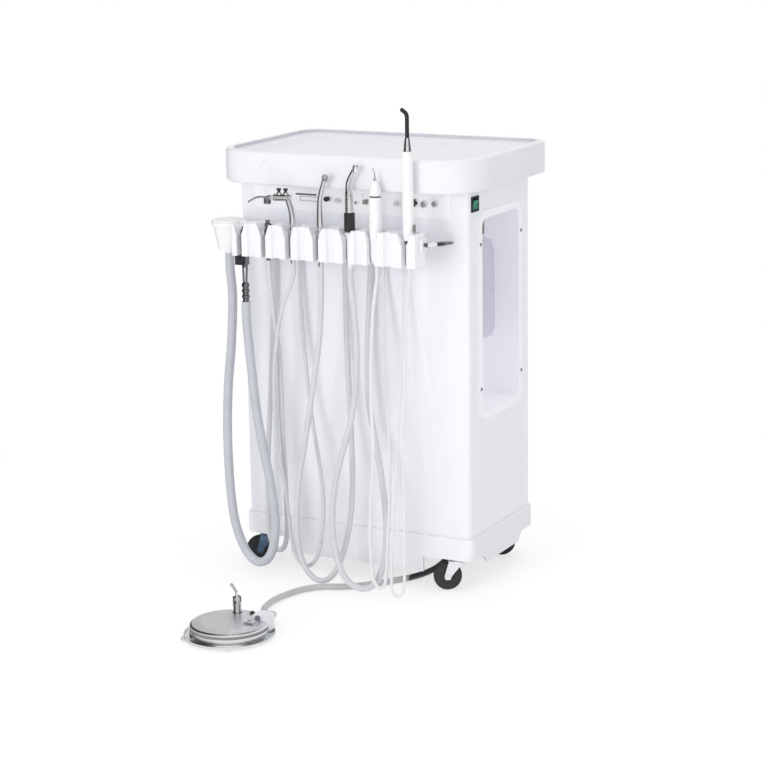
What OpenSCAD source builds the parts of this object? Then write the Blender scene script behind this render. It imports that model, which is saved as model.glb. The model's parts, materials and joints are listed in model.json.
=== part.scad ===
// Portable dental unit: a steel cabinet on four casters under a moulded worktop,
// with a front row of instruments on looped hoses and a foot control on the floor.
// Millimetres. +Z is up, the front faces -Y, and the origin is on the floor under the middle of the worktop.

/* [Worktop] */
// Width of the worktop
top_w = 500; // [480:1:600]
// Depth of the worktop, front to back
top_d = 350; // [340:1:420]
// Height of the worktop's rim above the floor
top_h = 760; // [700:1:900]
// Depth of the worktop's outer side
top_t = 56; // [45:1:66]
// Radius of the two front corners in plan
top_front_r = 85; // [40:1:100]
// Radius of the two rear corners in plan
top_rear_r = 42; // [30:1:60]
// Width of the raised rim round the tray
rim_w = 14; // [8:1:25]
// Depth of the tray below the rim
tray_depth = 12; // [6:1:16]
// Wall thickness of the moulding
top_wall = 4; // [2.5:0.5:6]

/* [Cabinet] */
// Width of the steel cabinet
cab_w = 444; // [424:1:470]
// Depth of the steel cabinet
cab_d = 250; // [230:1:290]
// How far the cabinet's middle lies behind the worktop's middle
cab_back = 9; // [0:1:15]
// Radius of the folded front corners
cab_r = 10; // [5:1:12]
// Thickness of the sheet steel
sheet = 1.5; // [1:0.1:2.5]

/* [Base] */
// Height of the bumper band
band_h = 39; // [30:1:50]
// Clearance between a wheel's top and its swivel plate
wheel_clear = 1; // [1:0.5:3]
// Thickness of the pan
pan_t = 4; // [3:0.5:6]
// How far the bumper band stands out from the cabinet
band_out = 5; // [3:0.5:8]
// Height of the skirt's lower edge above the floor
skirt_z = 29; // [20:1:35]
// Height of the side skirts' lower edge above the floor
side_skirt_z = 41; // [29:1:50]
// Clearance of the wheel arches round a swivelling wheel
arch_gap = 16; // [9:1:20]

/* [Casters] */
// Wheel diameter
wheel_d = 50; // [46:1:52]
// Wheel width
wheel_w = 18; // [14:1:20]
// Distance from the swivel axis back to the axle
caster_trail = 16; // [12:0.5:20]
// Distance of the swivel axes from the cabinet's sides
caster_in_x = 32; // [30:1:40]
// Distance of the swivel axes from the cabinet's front and back
caster_in_y = 12; // [10:1:20]

/* [Side pocket] */
// Width of the open pocket in the right side
pocket_w = 157; // [120:1:165]
// Height of the pocket
pocket_h = 345; // [300:1:360]
// Height of the pocket's lower edge
pocket_z = 307; // [304:1:320]
// Distance from the cabinet's front face to the pocket
pocket_in = 49; // [45:1:55]
// Depth of the pocket
pocket_depth = 90; // [86:1:96]
// Diameter of the water bottle
bottle_d = 76; // [60:1:80]
// Height of the water bottle up to its neck
bottle_h = 180; // [150:1:200]

/* [Instrument holder] */
// Distance of the instrument row in front of the worktop's middle
row_out = 189; // [189:1:200]
// Depth of the holder bar, front to back
bar_d = 36; // [32:1:36]
// Height of the holder bar
bar_h = 57; // [50:1:62]
// How far the holder bar's underside lies below the worktop's rim
bar_drop = 177; // [165:1:190]
// Depth of the funnel at the top of each holder
flare_h = 16; // [12:1:20]
// Radius of the funnel at its mouth
flare_r = 19.5; // [18:0.5:20]
// Places of the seven holders from left to right
holder_x = [-172, -124, -75, -21, 36, 86, 147]; // [-180:1:150]
// Clearance round an instrument's tail in its holder
holder_gap = 0.5; // [0.4:0.1:0.8]

/* [Instruments] */
// Radius of the suction valve's neck
suction_r = 4; // [3.5:0.1:4.5]
// Radius of the saliva valve
saliva_r = 4.8; // [4:0.1:5.5]
// Radius of the syringe's handle
syringe_r = 6; // [5.5:0.1:6.5]
// Radius of the turbine handpiece's tail
turbine_r = 5.6; // [5:0.1:6]
// Radius of the slow motor's tail
motor_r = 5.6; // [5:0.1:6]
// Radius of the scaler's lower body
scaler_r = 10; // [9:0.1:10.2]
// Radius of the curing light's stem
light_r = 5; // [4.5:0.1:5.5]

/* [Hoses] */
// Outer diameter of the suction hose
suction_hose_d = 16; // [14:0.5:17]
// Outer diameter of the saliva hose
saliva_hose_d = 9; // [7:0.5:9]
// Outer diameter of the syringe hose
syringe_hose_d = 7; // [6:0.5:9]
// Outer diameter of the turbine hose
turbine_hose_d = 10; // [8:0.5:11]
// Outer diameter of the motor hose
motor_hose_d = 11; // [8:0.5:11]
// Outer diameter of the scaler cord
scaler_cord_d = 6; // [5:0.5:7]
// Outer diameter of the curing light's cord
light_cord_d = 5; // [4:0.5:6]
// Outer diameter of the foot control's hose
foot_hose_d = 11; // [9:0.5:11]

/* [Foot control] */
// Distance of the foot control to the left of the middle
foot_left = 42; // [30:1:60]
// Distance of the foot control in front of the middle
foot_out = 487; // [470:1:500]
// Diameter of its base
foot_base_d = 152; // [145:1:165]
// Diameter of its treadle plate
foot_disc_d = 130; // [124:1:134]
// Height of the treadle plate's top above the floor
foot_h = 28; // [26:1:34]
// Travel of the treadle plate
foot_travel = 3; // [2:0.5:4]

/* [Hidden] */
$fn = 64;
eps = 0.01;
gap = 0.3;          // between curved faces of neighbouring pieces
run = 0.05;         // radial running clearance of a shaft in its bore
elbow = 0.1;        // how far a ball stands proud of the bars that meet in it

// Finishes
white = [0.94, 0.94, 0.95];
steel_white = [0.91, 0.92, 0.94];
chrome = [0.75, 0.76, 0.78];
dark = [0.08, 0.08, 0.09];
grey = [0.55, 0.56, 0.58];
clear = [0.8, 0.86, 0.92, 0.5];
hose_grey = [0.78, 0.79, 0.81];

// Levels and faces
top_z0 = top_h - top_t;
deck_z = top_h - tray_depth;
deck_under = deck_z - top_wall;
cab_front = cab_back - cab_d / 2;
cab_rear = cab_back + cab_d / 2;
side_x = cab_w / 2;
wheel_r = wheel_d / 2;
head_z = wheel_d + wheel_clear;   // underside of the swivel plate, which the stem's head holds up
pan_z = head_z + 6;
floor_z = pan_z + pan_t;
band_top = pan_z + band_h;
plate_t = 2;

// The front is drawn for a rim at 760 and a bar from 583 to 640, and moves or stretches with the real ones
strip_lift = top_h - 760;
row_lift = top_h - bar_drop - 583;
bar_z = 583;
bar_top = 640;
stretch = bar_h - (bar_top - bar_z);
module lifted(by) translate([0, 0, by]) children();
module above() translate([0, 0, stretch]) children();
// A profile of which whatever lies above the middle of the bar moves with the bar's top
function tall(profile) = [for (p = profile) [p[0], p[1] > 600 ? p[1] + stretch : p[1]]];

// ---------------------------------------------------------------- shared shapes

// Rounded rectangle with its own radius at the front (-Y) and the rear (+Y)
module rounded(w, d, rf, rr) {
    translate([-w / 2 + rf, -d / 2]) square([w - 2 * rf, d / 2]);
    translate([-w / 2 + rr, -eps]) square([w - 2 * rr, d / 2 + eps]);
    translate([-w / 2, -d / 2 + rf]) square([w, d - rf - rr]);
    for (s = [-1, 1]) {
        translate([s * (w / 2 - rf), -d / 2 + rf]) circle(rf);
        translate([s * (w / 2 - rr), d / 2 - rr]) circle(rr);
    }
}

module prism(z, h, w, d, rf, rr) translate([0, 0, z]) linear_extrude(h) rounded(w, d, rf, rr);

module box(x, y, z) translate([x[0], y[0], z[0]]) cube([x[1] - x[0], y[1] - y[0], z[1] - z[0]]);

// The stretch that reaches h to either side of v
function about(v, h) = [v - h, v + h];

// Solid of revolution about Z from [radius, height] pairs on its outside
module turned(profile) rotate_extrude() polygon(concat(
    [[0, profile[0][1]]], profile, [[0, profile[len(profile) - 1][1]]]));

// Round bar between two points
module bar_between(a, b, r) {
    d = b - a;
    translate(a) rotate([0, acos(d[2] / norm(d)), atan2(d[1], d[0])]) cylinder(r = r, h = norm(d));
}

module mirror_x() for (s = [0, 1]) mirror([s, 0, 0]) children();

// ---------------------------------------------------------------- hoses

function unit(v) = v / norm(v);
function spline(a, b, c, d, t) = 0.5 * (2 * b + (c - a) * t + (2 * a - 5 * b + 4 * c - d) * t * t
    + (3 * b - a - 3 * c + d) * t * t * t);
function smooth(p, n) = let (last = len(p) - 1) concat(
    [for (i = [0:last - 1], k = [0:n - 1])
        spline(i == 0 ? 2 * p[0] - p[1] : p[i - 1], p[i], p[i + 1],
               i + 2 > last ? 2 * p[last] - p[last - 1] : p[i + 2], k / n)], [p[last]]);
function tangents(p, head, tail) = let (last = len(p) - 1) concat([unit(head)],
    [for (i = [1:last - 1]) unit(p[i + 1] - p[i - 1])], [unit(tail)]);
function carried(t, first) = [for (i = 0, r = first; i < len(t);
    i = i + 1, r = i < len(t) ? unit(r - (r * t[i]) * t[i]) : r) unit(r - (r * t[i]) * t[i])];

// A route whose upper end moves with the row of instruments, and which is drawn out below them
function hung(route) = [for (p = route) [p[0], p[1], p[2] + row_lift * max(0, min(1, (p[2] - 120) / 370))]];

// Tube of diameter d swept along the smoothed route; its ends are square to the route's first and last runs
module hose(route, d, first = [0, 1, 0], sides = 8, steps = 2) {
    p = smooth(route, steps);
    last = len(route) - 1;
    t = tangents(p, route[1] - route[0], route[last] - route[last - 1]);
    r = carried(t, first);
    n = len(p);
    ring = [for (i = [0:n - 1], k = [0:sides - 1]) let (a = 360 * k / sides)
        p[i] + d / 2 * (cos(a) * r[i] + sin(a) * cross(t[i], r[i]))];
    wall = [for (i = [0:n - 2], k = [0:sides - 1]) let (k2 = (k + 1) % sides) each [
        [i * sides + k, (i + 1) * sides + k, (i + 1) * sides + k2],
        [i * sides + k, (i + 1) * sides + k2, i * sides + k2]]];
    caps = [for (k = [1:sides - 2]) each [
        [0, k, k + 1], [(n - 1) * sides, (n - 1) * sides + k + 1, (n - 1) * sides + k]]];
    polyhedron(points = ring, faces = concat(wall, caps), convexity = 10);
}

// ---------------------------------------------------------------- worktop and cabinet

// Moulded top: raised rim, tray, hollow under the deck and a mouth that the cabinet plugs into
module worktop() color(white) difference() {
    prism(top_z0, top_t, top_w, top_d, top_front_r, top_rear_r);
    prism(deck_z, tray_depth + 1, top_w - 2 * rim_w, top_d - 2 * rim_w, top_front_r - rim_w, top_rear_r - rim_w);
    prism(top_z0 + top_wall, deck_under - top_z0 - top_wall, top_w - 2 * top_wall, top_d - 2 * top_wall,
          top_front_r - top_wall, top_rear_r - top_wall);
    translate([0, cab_back, 0])
        prism(top_z0 - 1, top_wall + 2, cab_w + 2 * gap, cab_d + 2 * gap, cab_r + gap, cab_r / 2 + gap);
}

shell_z0 = floor_z;
rear_flange = 16;
strip_z = [655, 702];
strip_x = 190;
switch_y = [cab_front + 12, cab_front + 40];
switch_z = [666, 692];
pocket_y = [cab_front + pocket_in, cab_front + pocket_in + pocket_w];
pocket_top = pocket_z + pocket_h;
pocket_r = 18;
pocket_wall = 3;
port_z = 604;
port_x = [-150, -98, -8, 42, 66, 106];
crease_in = 26;    // from the front face back to the pressed line in the right side

// Folded steel wrap: front, two sides and a flange round the open back
module cabinet_shell() color(steel_white) difference() {
    translate([0, cab_back, 0]) prism(shell_z0, deck_under - shell_z0, cab_w, cab_d, cab_r, cab_r / 2);
    translate([0, cab_back, 0]) prism(shell_z0 - 1, deck_under - shell_z0 + 2, cab_w - 2 * sheet, cab_d - 2 * sheet,
          cab_r - sheet, cab_r / 2 - sheet);
    box([-side_x + rear_flange, side_x - rear_flange], [cab_rear - 2 * sheet, cab_rear + 1],
        [shell_z0 - 1, deck_under + 1]);
    pocket_prism(side_x - 2 * sheet, side_x + 1, -gap);
    lifted(strip_lift) {
        box([side_x - 2 * sheet, side_x + 1], switch_y + [1, -1] * 2, switch_z + [1, -1] * 2);
        box([-strip_x + 12, strip_x - 12], [cab_front - 1, cab_front + 2 * sheet], strip_z + [4, -4]);
    }
    for (x = port_x) translate([x, cab_front - 1, port_z + row_lift]) rotate([-90, 0, 0])
        cylinder(r = 5, h = 2 * sheet + 1);
    box([side_x - 0.4, side_x + 1], about(cab_front + crease_in, 1), [pocket_z - 6, pocket_top - 70]);
}

// Screwed-on back with two blocks of cooling slots and the mains inlet's cut-out
back_x = side_x - sheet - cab_r / 2;
inlet_z = 120;
module back_panel() color(steel_white) difference() {
    box([-back_x, back_x], [cab_rear - 3.5, cab_rear - sheet - 0.2], [shell_z0 + plate_t + 1, deck_under - 2]);
    for (x = [-110, 110], i = [0:9])
        translate([x - 45, cab_rear - 5, 180 + 14 * i]) cube([90, 5, 5]);
    box([150 - 14, 150 + 14], [cab_rear - 6, cab_rear + 1], [inlet_z - 10, inlet_z + 10]);
}

// Appliance inlet: hood, recess and three flat pins
module power_inlet() color(dark) {
    difference() {
        union() {
            box([150 - 24, 150 + 24], [cab_rear - sheet - 0.2, cab_rear + 1], [inlet_z - 13, inlet_z + 13]);
            box([150 - 13.7, 150 + 13.7], [cab_rear - 22, cab_rear - sheet], [inlet_z - 9.7, inlet_z + 9.7]);
        }
        box([150 - 11.5, 150 + 11.5], [cab_rear - 16, cab_rear + 2], [inlet_z - 7.5, inlet_z + 7.5]);
    }
    for (p = [[-7, 1], [0, -1.5], [7, 1]])
        box([150 + p[0] - 1, 150 + p[0] + 1], [cab_rear - 17, cab_rear - 4],
            [inlet_z + p[1] - 2, inlet_z + p[1] + 2]);
}

arch_z = 8;
arch_r = caster_trail + wheel_r + arch_gap;
// Moulded base: bumper band round the cabinet, pan, and a skirt with four wheel arches
module base_tray() color(white) difference() {
    union() {
        translate([0, cab_back, 0]) prism(pan_z, band_top - pan_z, cab_w + 2 * band_out, cab_d + 2 * band_out,
              cab_r + band_out, cab_r / 2 + band_out);
        translate([0, cab_back, 0]) difference() {
            prism(skirt_z, pan_z - skirt_z + eps, cab_w + 2 * band_out, cab_d + 2 * band_out,
                  cab_r + band_out, cab_r / 2 + band_out);
            prism(skirt_z - 1, pan_z - skirt_z + 1, cab_w + 2 * band_out - 2 * top_wall,
                  cab_d + 2 * band_out - 2 * top_wall, cab_r + band_out - top_wall, cab_r / 2 + band_out - top_wall);
            box([-side_x - band_out - 1, side_x + band_out + 1], [25 - cab_d / 2, cab_d / 2 - 25],
                [skirt_z - 1, side_skirt_z]);
            for (p = caster_places) translate([p[0], p[1] - cab_back, arch_z]) {
                rotate([90, 0, 0]) cylinder(r = arch_r, h = arch_r, center = true);
                rotate([0, 90, 0]) cylinder(r = arch_r, h = 2 * arch_r, center = true);
            }
        }
    }
    translate([0, cab_back, 0])
        prism(floor_z, band_top - floor_z + 1, cab_w + 2 * gap, cab_d + 2 * gap, cab_r + gap, cab_r / 2 + gap);
    for (p = caster_places) translate([p[0], p[1], pan_z - 1]) cylinder(r = stem_r + 0.5, h = pan_t + 2);
    translate([foot_port[0], foot_port[1], pan_z - 1]) cylinder(r = 5, h = pan_t + 2);
}

// Steel floor plate with the casters' stems, two uprights and the shelf they carry
stem_r = 5;
shelf_z = 300;
upright_x = 216;
module chassis() color(grey) {
    difference() {
        union() {
            box([-upright_x, upright_x], [cab_front + 6, cab_rear - 6], [floor_z, floor_z + plate_t]);
            for (s = [-1, 1]) box([s * upright_x - (s > 0 ? plate_t : 0), s * upright_x + (s > 0 ? 0 : plate_t)],
                [cab_front + 60, cab_rear - 30], [floor_z, shelf_z]);
            box([-upright_x, upright_x], [cab_front + 60, cab_rear - 30], [shelf_z - plate_t, shelf_z]);
            for (p = caster_places) translate([p[0], p[1], 0]) {
                translate([0, 0, head_z]) cylinder(r = stem_r, h = floor_z + 1 - head_z);
                translate([0, 0, head_z - 2]) cylinder(r = stem_r + 2, h = 2 + eps);
            }
        }
        box([-120, 120], [cab_front + 90, cab_rear - 60], [shelf_z - 10, shelf_z + 10]);
        translate([foot_port[0], foot_port[1], floor_z - 1]) cylinder(r = 5, h = 10);
    }
}

// Prism along X with the pocket's rounded outline, drawn in by inset on every side
module pocket_prism(x0, x1, inset) let (r = pocket_r - inset)
    translate([x0, (pocket_y[0] + pocket_y[1]) / 2, (pocket_z + pocket_top) / 2]) rotate([90, 0, 90])
        linear_extrude(x1 - x0) rounded(pocket_w - 2 * inset, pocket_h - 2 * inset, r, r);

bezel = 10;
bezel_t = 2;
pocket_x0 = side_x - pocket_depth;
bottle_at = [side_x - 45, cab_front + 116];
bottle_top = pocket_top - 42;
neck_r = 14;
neck_h = 16;
cap_top = pocket_top - pocket_wall - gap;
riser_r = 8;
// Open pocket: moulded box with a flange screwed on round its mouth and a hole for the bottle's cap
module side_pocket() color(white) difference() {
    union() {
        pocket_prism(side_x, side_x + bezel_t, -bezel);
        pocket_prism(pocket_x0, side_x + eps, 0);
    }
    pocket_prism(pocket_x0 + pocket_wall, side_x + bezel_t + 1, pocket_wall);
    translate([bottle_at[0], bottle_at[1], pocket_top - pocket_wall - 1]) cylinder(r = riser_r + gap, h = pocket_wall + 2);
}

// Four pan-head screws in the pocket's flange
screw_z = [pocket_z + 48, pocket_top - 45];
module pocket_screws() color(chrome)
    for (y = pocket_y + [-1, 1] * bezel / 2, z = screw_z) translate([side_x + bezel_t, y, z]) rotate([0, 90, 0])
        difference() {
            turned([[3.4, 0], [3.2, 1], [2, 1.8]]);
            translate([-2.2, -0.4, 1.2]) cube([4.4, 0.8, 2]);
        }

// Water bottle that screws up into the cap at the pocket's ceiling
module water_bottle() color(clear) translate([bottle_at[0], bottle_at[1], 0]) difference() {
    r = bottle_d / 2;
    b = bottle_top - bottle_h;
    turned([[r - 16, b], [r - 5, b + 4], [r, b + 16], [r, bottle_top - 26], [r - 6, bottle_top - 10],
            [neck_r + 4, bottle_top], [neck_r, bottle_top + 2], [neck_r, bottle_top + neck_h]]);
    turned([[r - 17, b + 2.5], [r - 7, b + 6], [r - 2, b + 17], [r - 2, bottle_top - 27],
            [r - 8, bottle_top - 12], [neck_r - 2.5, bottle_top - 1], [neck_r - 2.5, bottle_top + neck_h + 1]]);
}

// ---------------------------------------------------------------- inside the cabinet

// Twin-head oil-free compressor: motor barrel, two finned heads, feet
comp_z = floor_z + plate_t + 74;
module compressor() color(grey) translate([0, cab_front + 62, comp_z]) {
    rotate([0, 90, 0]) translate([0, 0, -80]) turned([[40, 0], [46, 6], [46, 60], [43, 60], [43, 100], [46, 100],
        [46, 154], [40, 160]]);
    for (s = [-1, 1]) {
        translate([s * 58, 0, 40]) cylinder(r = 20, h = 33);
        for (i = [0:4]) translate([s * 58 - 26, -26, 48 + 5 * i]) cube([52, 52, 2]);
        translate([s * 58 - 27, -27, 72]) cube([54, 54, 12]);
        for (t = [-1, 1]) translate([s * 58, t * 30, -74]) cylinder(r = 9, h = 44);
    }
}

// Air receiver with domed ends on two saddles
tank_r = 50;
tank_z = floor_z + plate_t + 66;
module air_tank() color(steel_white) translate([0, cab_rear - 72, tank_z]) {
    rotate([0, 90, 0]) translate([0, 0, -130]) turned([[20, 0], [40, 8], [tank_r, 28], [tank_r, 232], [40, 252], [20, 260]]);
    for (s = [-1, 1]) translate([s * 80 - 12, -40, -66]) cube([24, 80, 30]);
    translate([0, 0, tank_r - 3]) cylinder(r = 7, h = 22);
}

// Waste jar for the suction, on the shelf
module waste_bottle() color(clear) translate([-156, cab_rear - 72, shelf_z]) {
    turned([[46, 0], [50, 5], [50, 170], [46, 178], [30, 182]]);
    translate([0, 0, 182]) turned([[33, 0], [33, 18], [30, 20]]);
    for (s = [-1, 1]) translate([s * 16, 0, 198]) cylinder(r = 5, h = 20);
}

arm_z = pocket_top + 4;
// Air and water block behind the controls, with the arm and cap that hold the water bottle
module valve_manifold() color(grey) {
    lifted(strip_lift) {
        box([-130, 120], [cab_front + sheet, cab_front + 30], [612, 648]);
        for (i = [0:4]) translate([-105 + 48 * i, cab_front + 16, 648]) cylinder(r = 9, h = 34);
    }
    box([100, bottle_at[0] + riser_r], [bottle_at[1] - riser_r, bottle_at[1] + riser_r], [arm_z, arm_z + 14]);
    box([100, 112], [cab_front + 29, bottle_at[1] + riser_r],
        [min(arm_z, 630 + strip_lift), max(arm_z + 14, 630 + strip_lift)]);
    translate([bottle_at[0], bottle_at[1], 0]) {
        difference() {
            translate([0, 0, bottle_top + 3]) cylinder(r = neck_r + 5, h = cap_top - bottle_top - 3);
            translate([0, 0, bottle_top + 2]) cylinder(r = neck_r + gap, h = neck_h - 2 + gap);
        }
        translate([0, 0, cap_top - 1]) cylinder(r = riser_r, h = arm_z + 1 - cap_top + eps);
        translate([0, 0, bottle_top - bottle_h + 14]) cylinder(r = 2.5, h = bottle_h + 6);
    }
}

// ---------------------------------------------------------------- controls

knob_z = 677;
shaft_r = 2;
// Place on the strip, radius and length of each control
water_at = [-42.5, knob_z + 1, 4.4, 12];
air_at = [-23, knob_z - 1, 4.4, 9];
scaler_at = [33, knob_z, 4.4, 12];
light_at = [91, knob_z, 4.2, 9];
toggle_at = [125, knob_z + 2];
button_at = [-165, 668];
button_half = 5.7;
connect_at = [[142, knob_z + 1], [163, knob_z + 3]];
strip_t = 2;
strip_front = cab_front - strip_t;
bush_l = 3;

// White fascia with the controls' bushes, a slot and a framed window
module control_strip() color(white) {
    difference() {
        union() {
            box([-strip_x, strip_x], [strip_front, cab_front], strip_z);
            for (k = [water_at, air_at, scaler_at, light_at]) translate([k[0], strip_front + eps, k[1]])
                rotate([90, 0, 0]) cylinder(r = k[2] - 1.5, h = bush_l);
            translate([12, strip_front + eps, knob_z - 3]) rotate([90, 0, 0]) cylinder(r = 4, h = 4);
            translate([23, strip_front + eps, knob_z + 9]) rotate([90, 0, 0]) turned([[3.4, 0], [3.4, 2], [2.6, 3.4]]);
            for (s = [-1, 1]) box(about(toggle_at[0] + s * 4.7, 0.8), [cab_front - eps, toggle_pivot[1] + 2],
                about(toggle_at[1], 3));
        }
        translate(toggle_pivot) rotate([0, 90, 0]) cylinder(r = toggle_pin_r + run, h = 12, center = true);
        for (k = [water_at, air_at, scaler_at, light_at]) translate([k[0], cab_front + 1, k[1]])
            rotate([90, 0, 0]) cylinder(r = shaft_r + run, h = strip_t + bush_l + 2);
        box([-107, -67], [strip_front - 1, cab_front - 0.5], [681.5, 683.5]);
        box([-99, -57], [strip_front - 1, strip_front + 0.8], [671.5, 678.5]);
        translate([toggle_at[0], cab_front + 1, toggle_at[1]]) rotate([90, 0, 0]) cylinder(r = 3.6, h = strip_t + 2);
        box(about(button_at[0], button_half + gap), [strip_front - 1, cab_front + 1],
            about(button_at[1], button_half + gap));
        for (c = connect_at) translate([c[0], cab_front + 1, c[1]]) rotate([90, 0, 0]) cylinder(r = 4.5, h = strip_t + 2);
    }
}

// Fluted knob on its own shaft, turning in the bush
module knob(at, finish) color(finish) translate([at[0], strip_front, at[1]]) rotate([90, 0, 0]) {
    translate([0, 0, -strip_t - 6]) cylinder(r = shaft_r, h = strip_t + 6 + bush_l + 1);
    difference() {
        translate([0, 0, bush_l + gap]) turned([[at[2], 0], [at[2], at[3] - 4], [at[2] - 0.8, at[3] - 3]]);
        for (a = [0:45:315]) rotate(a) translate([at[2] + 0.9, 0, bush_l - 1]) cylinder(r = 1.5, h = at[3] + 4);
    }
}

module water_knob() knob(water_at, dark);
module air_knob() knob(air_at, grey);
module scaler_knob() knob(scaler_at, dark);
module light_knob() knob(light_at, grey);

// Paddle of a small two-way switch, rocking on a cross pin behind the strip
toggle_pivot = [toggle_at[0], strip_front + 3, toggle_at[1]];
toggle_pin_r = 0.8;
module toggle_switch() color(dark) translate(toggle_pivot) {
    sphere(r = 3);
    rotate([0, 90, 0]) cylinder(r = toggle_pin_r, h = 10, center = true);
    rotate([90 - 8, 0, 0]) {
        cylinder(r = 1.6, h = 8);
        translate([-2, -6.5, 7]) cube([4, 13, 3]);
    }
}

// Square push button
module panel_button() color(dark)
    box(about(button_at[0], button_half), [strip_front - 4, cab_front + 3], about(button_at[1], button_half));

// Two quick connectors, air and water: flange, nose and a socket for the plug
socket_r = 3;
socket_l = 12;
module quick_connects() color(chrome) for (c = connect_at) translate([c[0], strip_front, c[1]]) rotate([90, 0, 0])
    difference() {
        union() {
            translate([0, 0, -strip_t - 10]) cylinder(r = 4.3, h = strip_t + 10 + eps);
            turned([[6.5, 0], [6.5, 2], [5.6, 2.6], [5.6, 6], [5, 7]]);
        }
        translate([0, 0, 7 - socket_l]) cylinder(r = socket_r, h = socket_l + 1);
    }

rocker_pivot = [side_x - 3, (switch_y[0] + switch_y[1]) / 2, (switch_z[0] + switch_z[1]) / 2];
pin_r = 1.5;
pin_l = 23;
// Mains switch: frame in the side panel
module switch_frame() color(dark) difference() {
    union() {
        box([side_x, side_x + 2], switch_y, switch_z);
        box([side_x - 14, side_x + eps], switch_y + [1, -1] * 2.3, switch_z + [1, -1] * 2.3);
    }
    box([side_x - 12, side_x + 3], switch_y + [1, -1] * 4, switch_z + [1, -1] * 4);
    translate(rocker_pivot) rotate([90, 0, 0]) cylinder(r = pin_r + run, h = pin_l + 0.2, center = true);
}

// Green rocker on its cross pin, rocking about Y
module switch_rocker() color([0.05, 0.45, 0.28]) translate(rocker_pivot) rotate([90, 0, 0]) {
    cylinder(r = pin_r, h = pin_l, center = true);
    linear_extrude(19, center = true) rotate(-8) polygon([[-4, -3], [0, -5], [3, -7.6], [6.5, -7.6], [4.6, 0],
        [6.5, 7.6], [3, 7.6], [0, 5], [-4, 3]]);
}

// ---------------------------------------------------------------- instrument holder

row_y = -row_out;
bar_y = [row_y - bar_d / 2, row_y + bar_d / 2];
flare_z = bar_top - flare_h;
tail_r = [suction_r, saliva_r, syringe_r, turbine_r, motor_r, scaler_r, light_r];
bore_r = [for (r = tail_r) r + holder_gap];
bar_x = [holder_x[0] - 14, holder_x[6] + 21];

// Slope of holder i's funnel, and the height at which a shoulder of radius r comes to rest in it
function funnel(i) = (flare_r - bore_r[i]) / flare_h;
function seat_z(i, r) = flare_z + (r - bore_r[i] + gap * sqrt(1 + funnel(i) ^ 2)) / funnel(i);

// Moulded bar of seven front-opening holders with grooves between them
arm_at = [181, row_y + 3, 621];
mouth_w = 24;
mouth_h = 20;
neck_bulge = 0.8;
slot_r = [for (i = [0:6]) i == 0 ? suction_r + neck_bulge + gap : bore_r[i] * 0.86];
module holder_bar() color(white) difference() {
    union() {
        box(bar_x, bar_y, [bar_z, bar_z + bar_h]);
        box([bar_x[1] - 1, arm_at[0] - 6], [row_y - 6, row_y + 12], [611, 631]);
    }
    for (i = [0:6]) translate([holder_x[i], row_y, 0]) {
        translate([0, 0, bar_z - 1]) cylinder(r = bore_r[i], h = bar_h + 2);
        above() translate([0, 0, flare_z]) cylinder(r1 = bore_r[i], r2 = flare_r, h = flare_h);
        above() translate([0, 0, bar_top - eps]) cylinder(r = flare_r, h = 1);
        translate([-slot_r[i], -bar_d / 2 - 1, bar_z - 1]) cube([2 * slot_r[i], bar_d / 2 + 1, bar_h + 2]);
        above() translate([0, -bore_r[i] - 1, bar_top]) rotate([90, 0, 0]) linear_extrude(bar_d / 2)
            polygon([[-mouth_w / 2, 1], [-mouth_w / 2, 0], [-slot_r[i], -mouth_h], [slot_r[i], -mouth_h],
                [mouth_w / 2, 0], [mouth_w / 2, 1]]);
    }
    for (i = [0:5]) let (mid = (holder_x[i] + holder_x[i + 1]) / 2)
        translate([mid, bar_y[0] - 2, bar_z - 1]) cylinder(r = 8, h = bar_h + 2);
}

// Chrome arms that carry the bar off the cabinet's front
module holder_arms() color(chrome) {
    translate([-124, cab_front, 614]) rotate([90, 0, 0]) cylinder(r = 3.5, h = cab_front - bar_y[1]);
    translate([-124, cab_front, 614]) rotate([90, 0, 0]) cylinder(r = 9, h = 3);
    bar_between([193, cab_front - 2, arm_at[2] - 6], arm_at, 3.2);
    translate([193, cab_front, arm_at[2] - 6]) rotate([90, 0, 0]) cylinder(r = 8, h = 3);
    translate(arm_at) sphere(r = 4);
    translate([arm_at[0] - 6, arm_at[1], arm_at[2]]) rotate([0, 90, 0]) cylinder(r = 3.2, h = 6);
}

// Row of elbows on the cabinet's front that the hoses come out of, pointing down
port_d = [11, 9, 12, 13, 8, 7];
port_y = cab_front - 11;
port_bottom = port_z - 14;
module hose_ports() color(white) for (i = [0:5]) translate([port_x[i], 0, 0]) {
    translate([0, cab_front + 5, port_z]) rotate([90, 0, 0]) cylinder(r = 4.7, h = 6);
    translate([0, cab_front, port_z]) rotate([90, 0, 0]) cylinder(r = 8, h = 4);
    box([-7, 7], [port_y - 7, cab_front - 3], [port_z - 7, port_z + 7]);
    translate([0, port_y, port_bottom]) cylinder(r = port_d[i] / 2 + 0.8, h = 8);
}

// ---------------------------------------------------------------- casters

caster_places = [for (sy = [-1, 1], sx = [-1, 1])
    [sx * (side_x - caster_in_x), cab_back + sy * (cab_d / 2 - caster_in_y)]];
caster_turn = [-62, -62, -10, -50];    // how each stands: swivelled from straight back-to-front
fork_gap = 1;
axle_r = 3;

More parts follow.
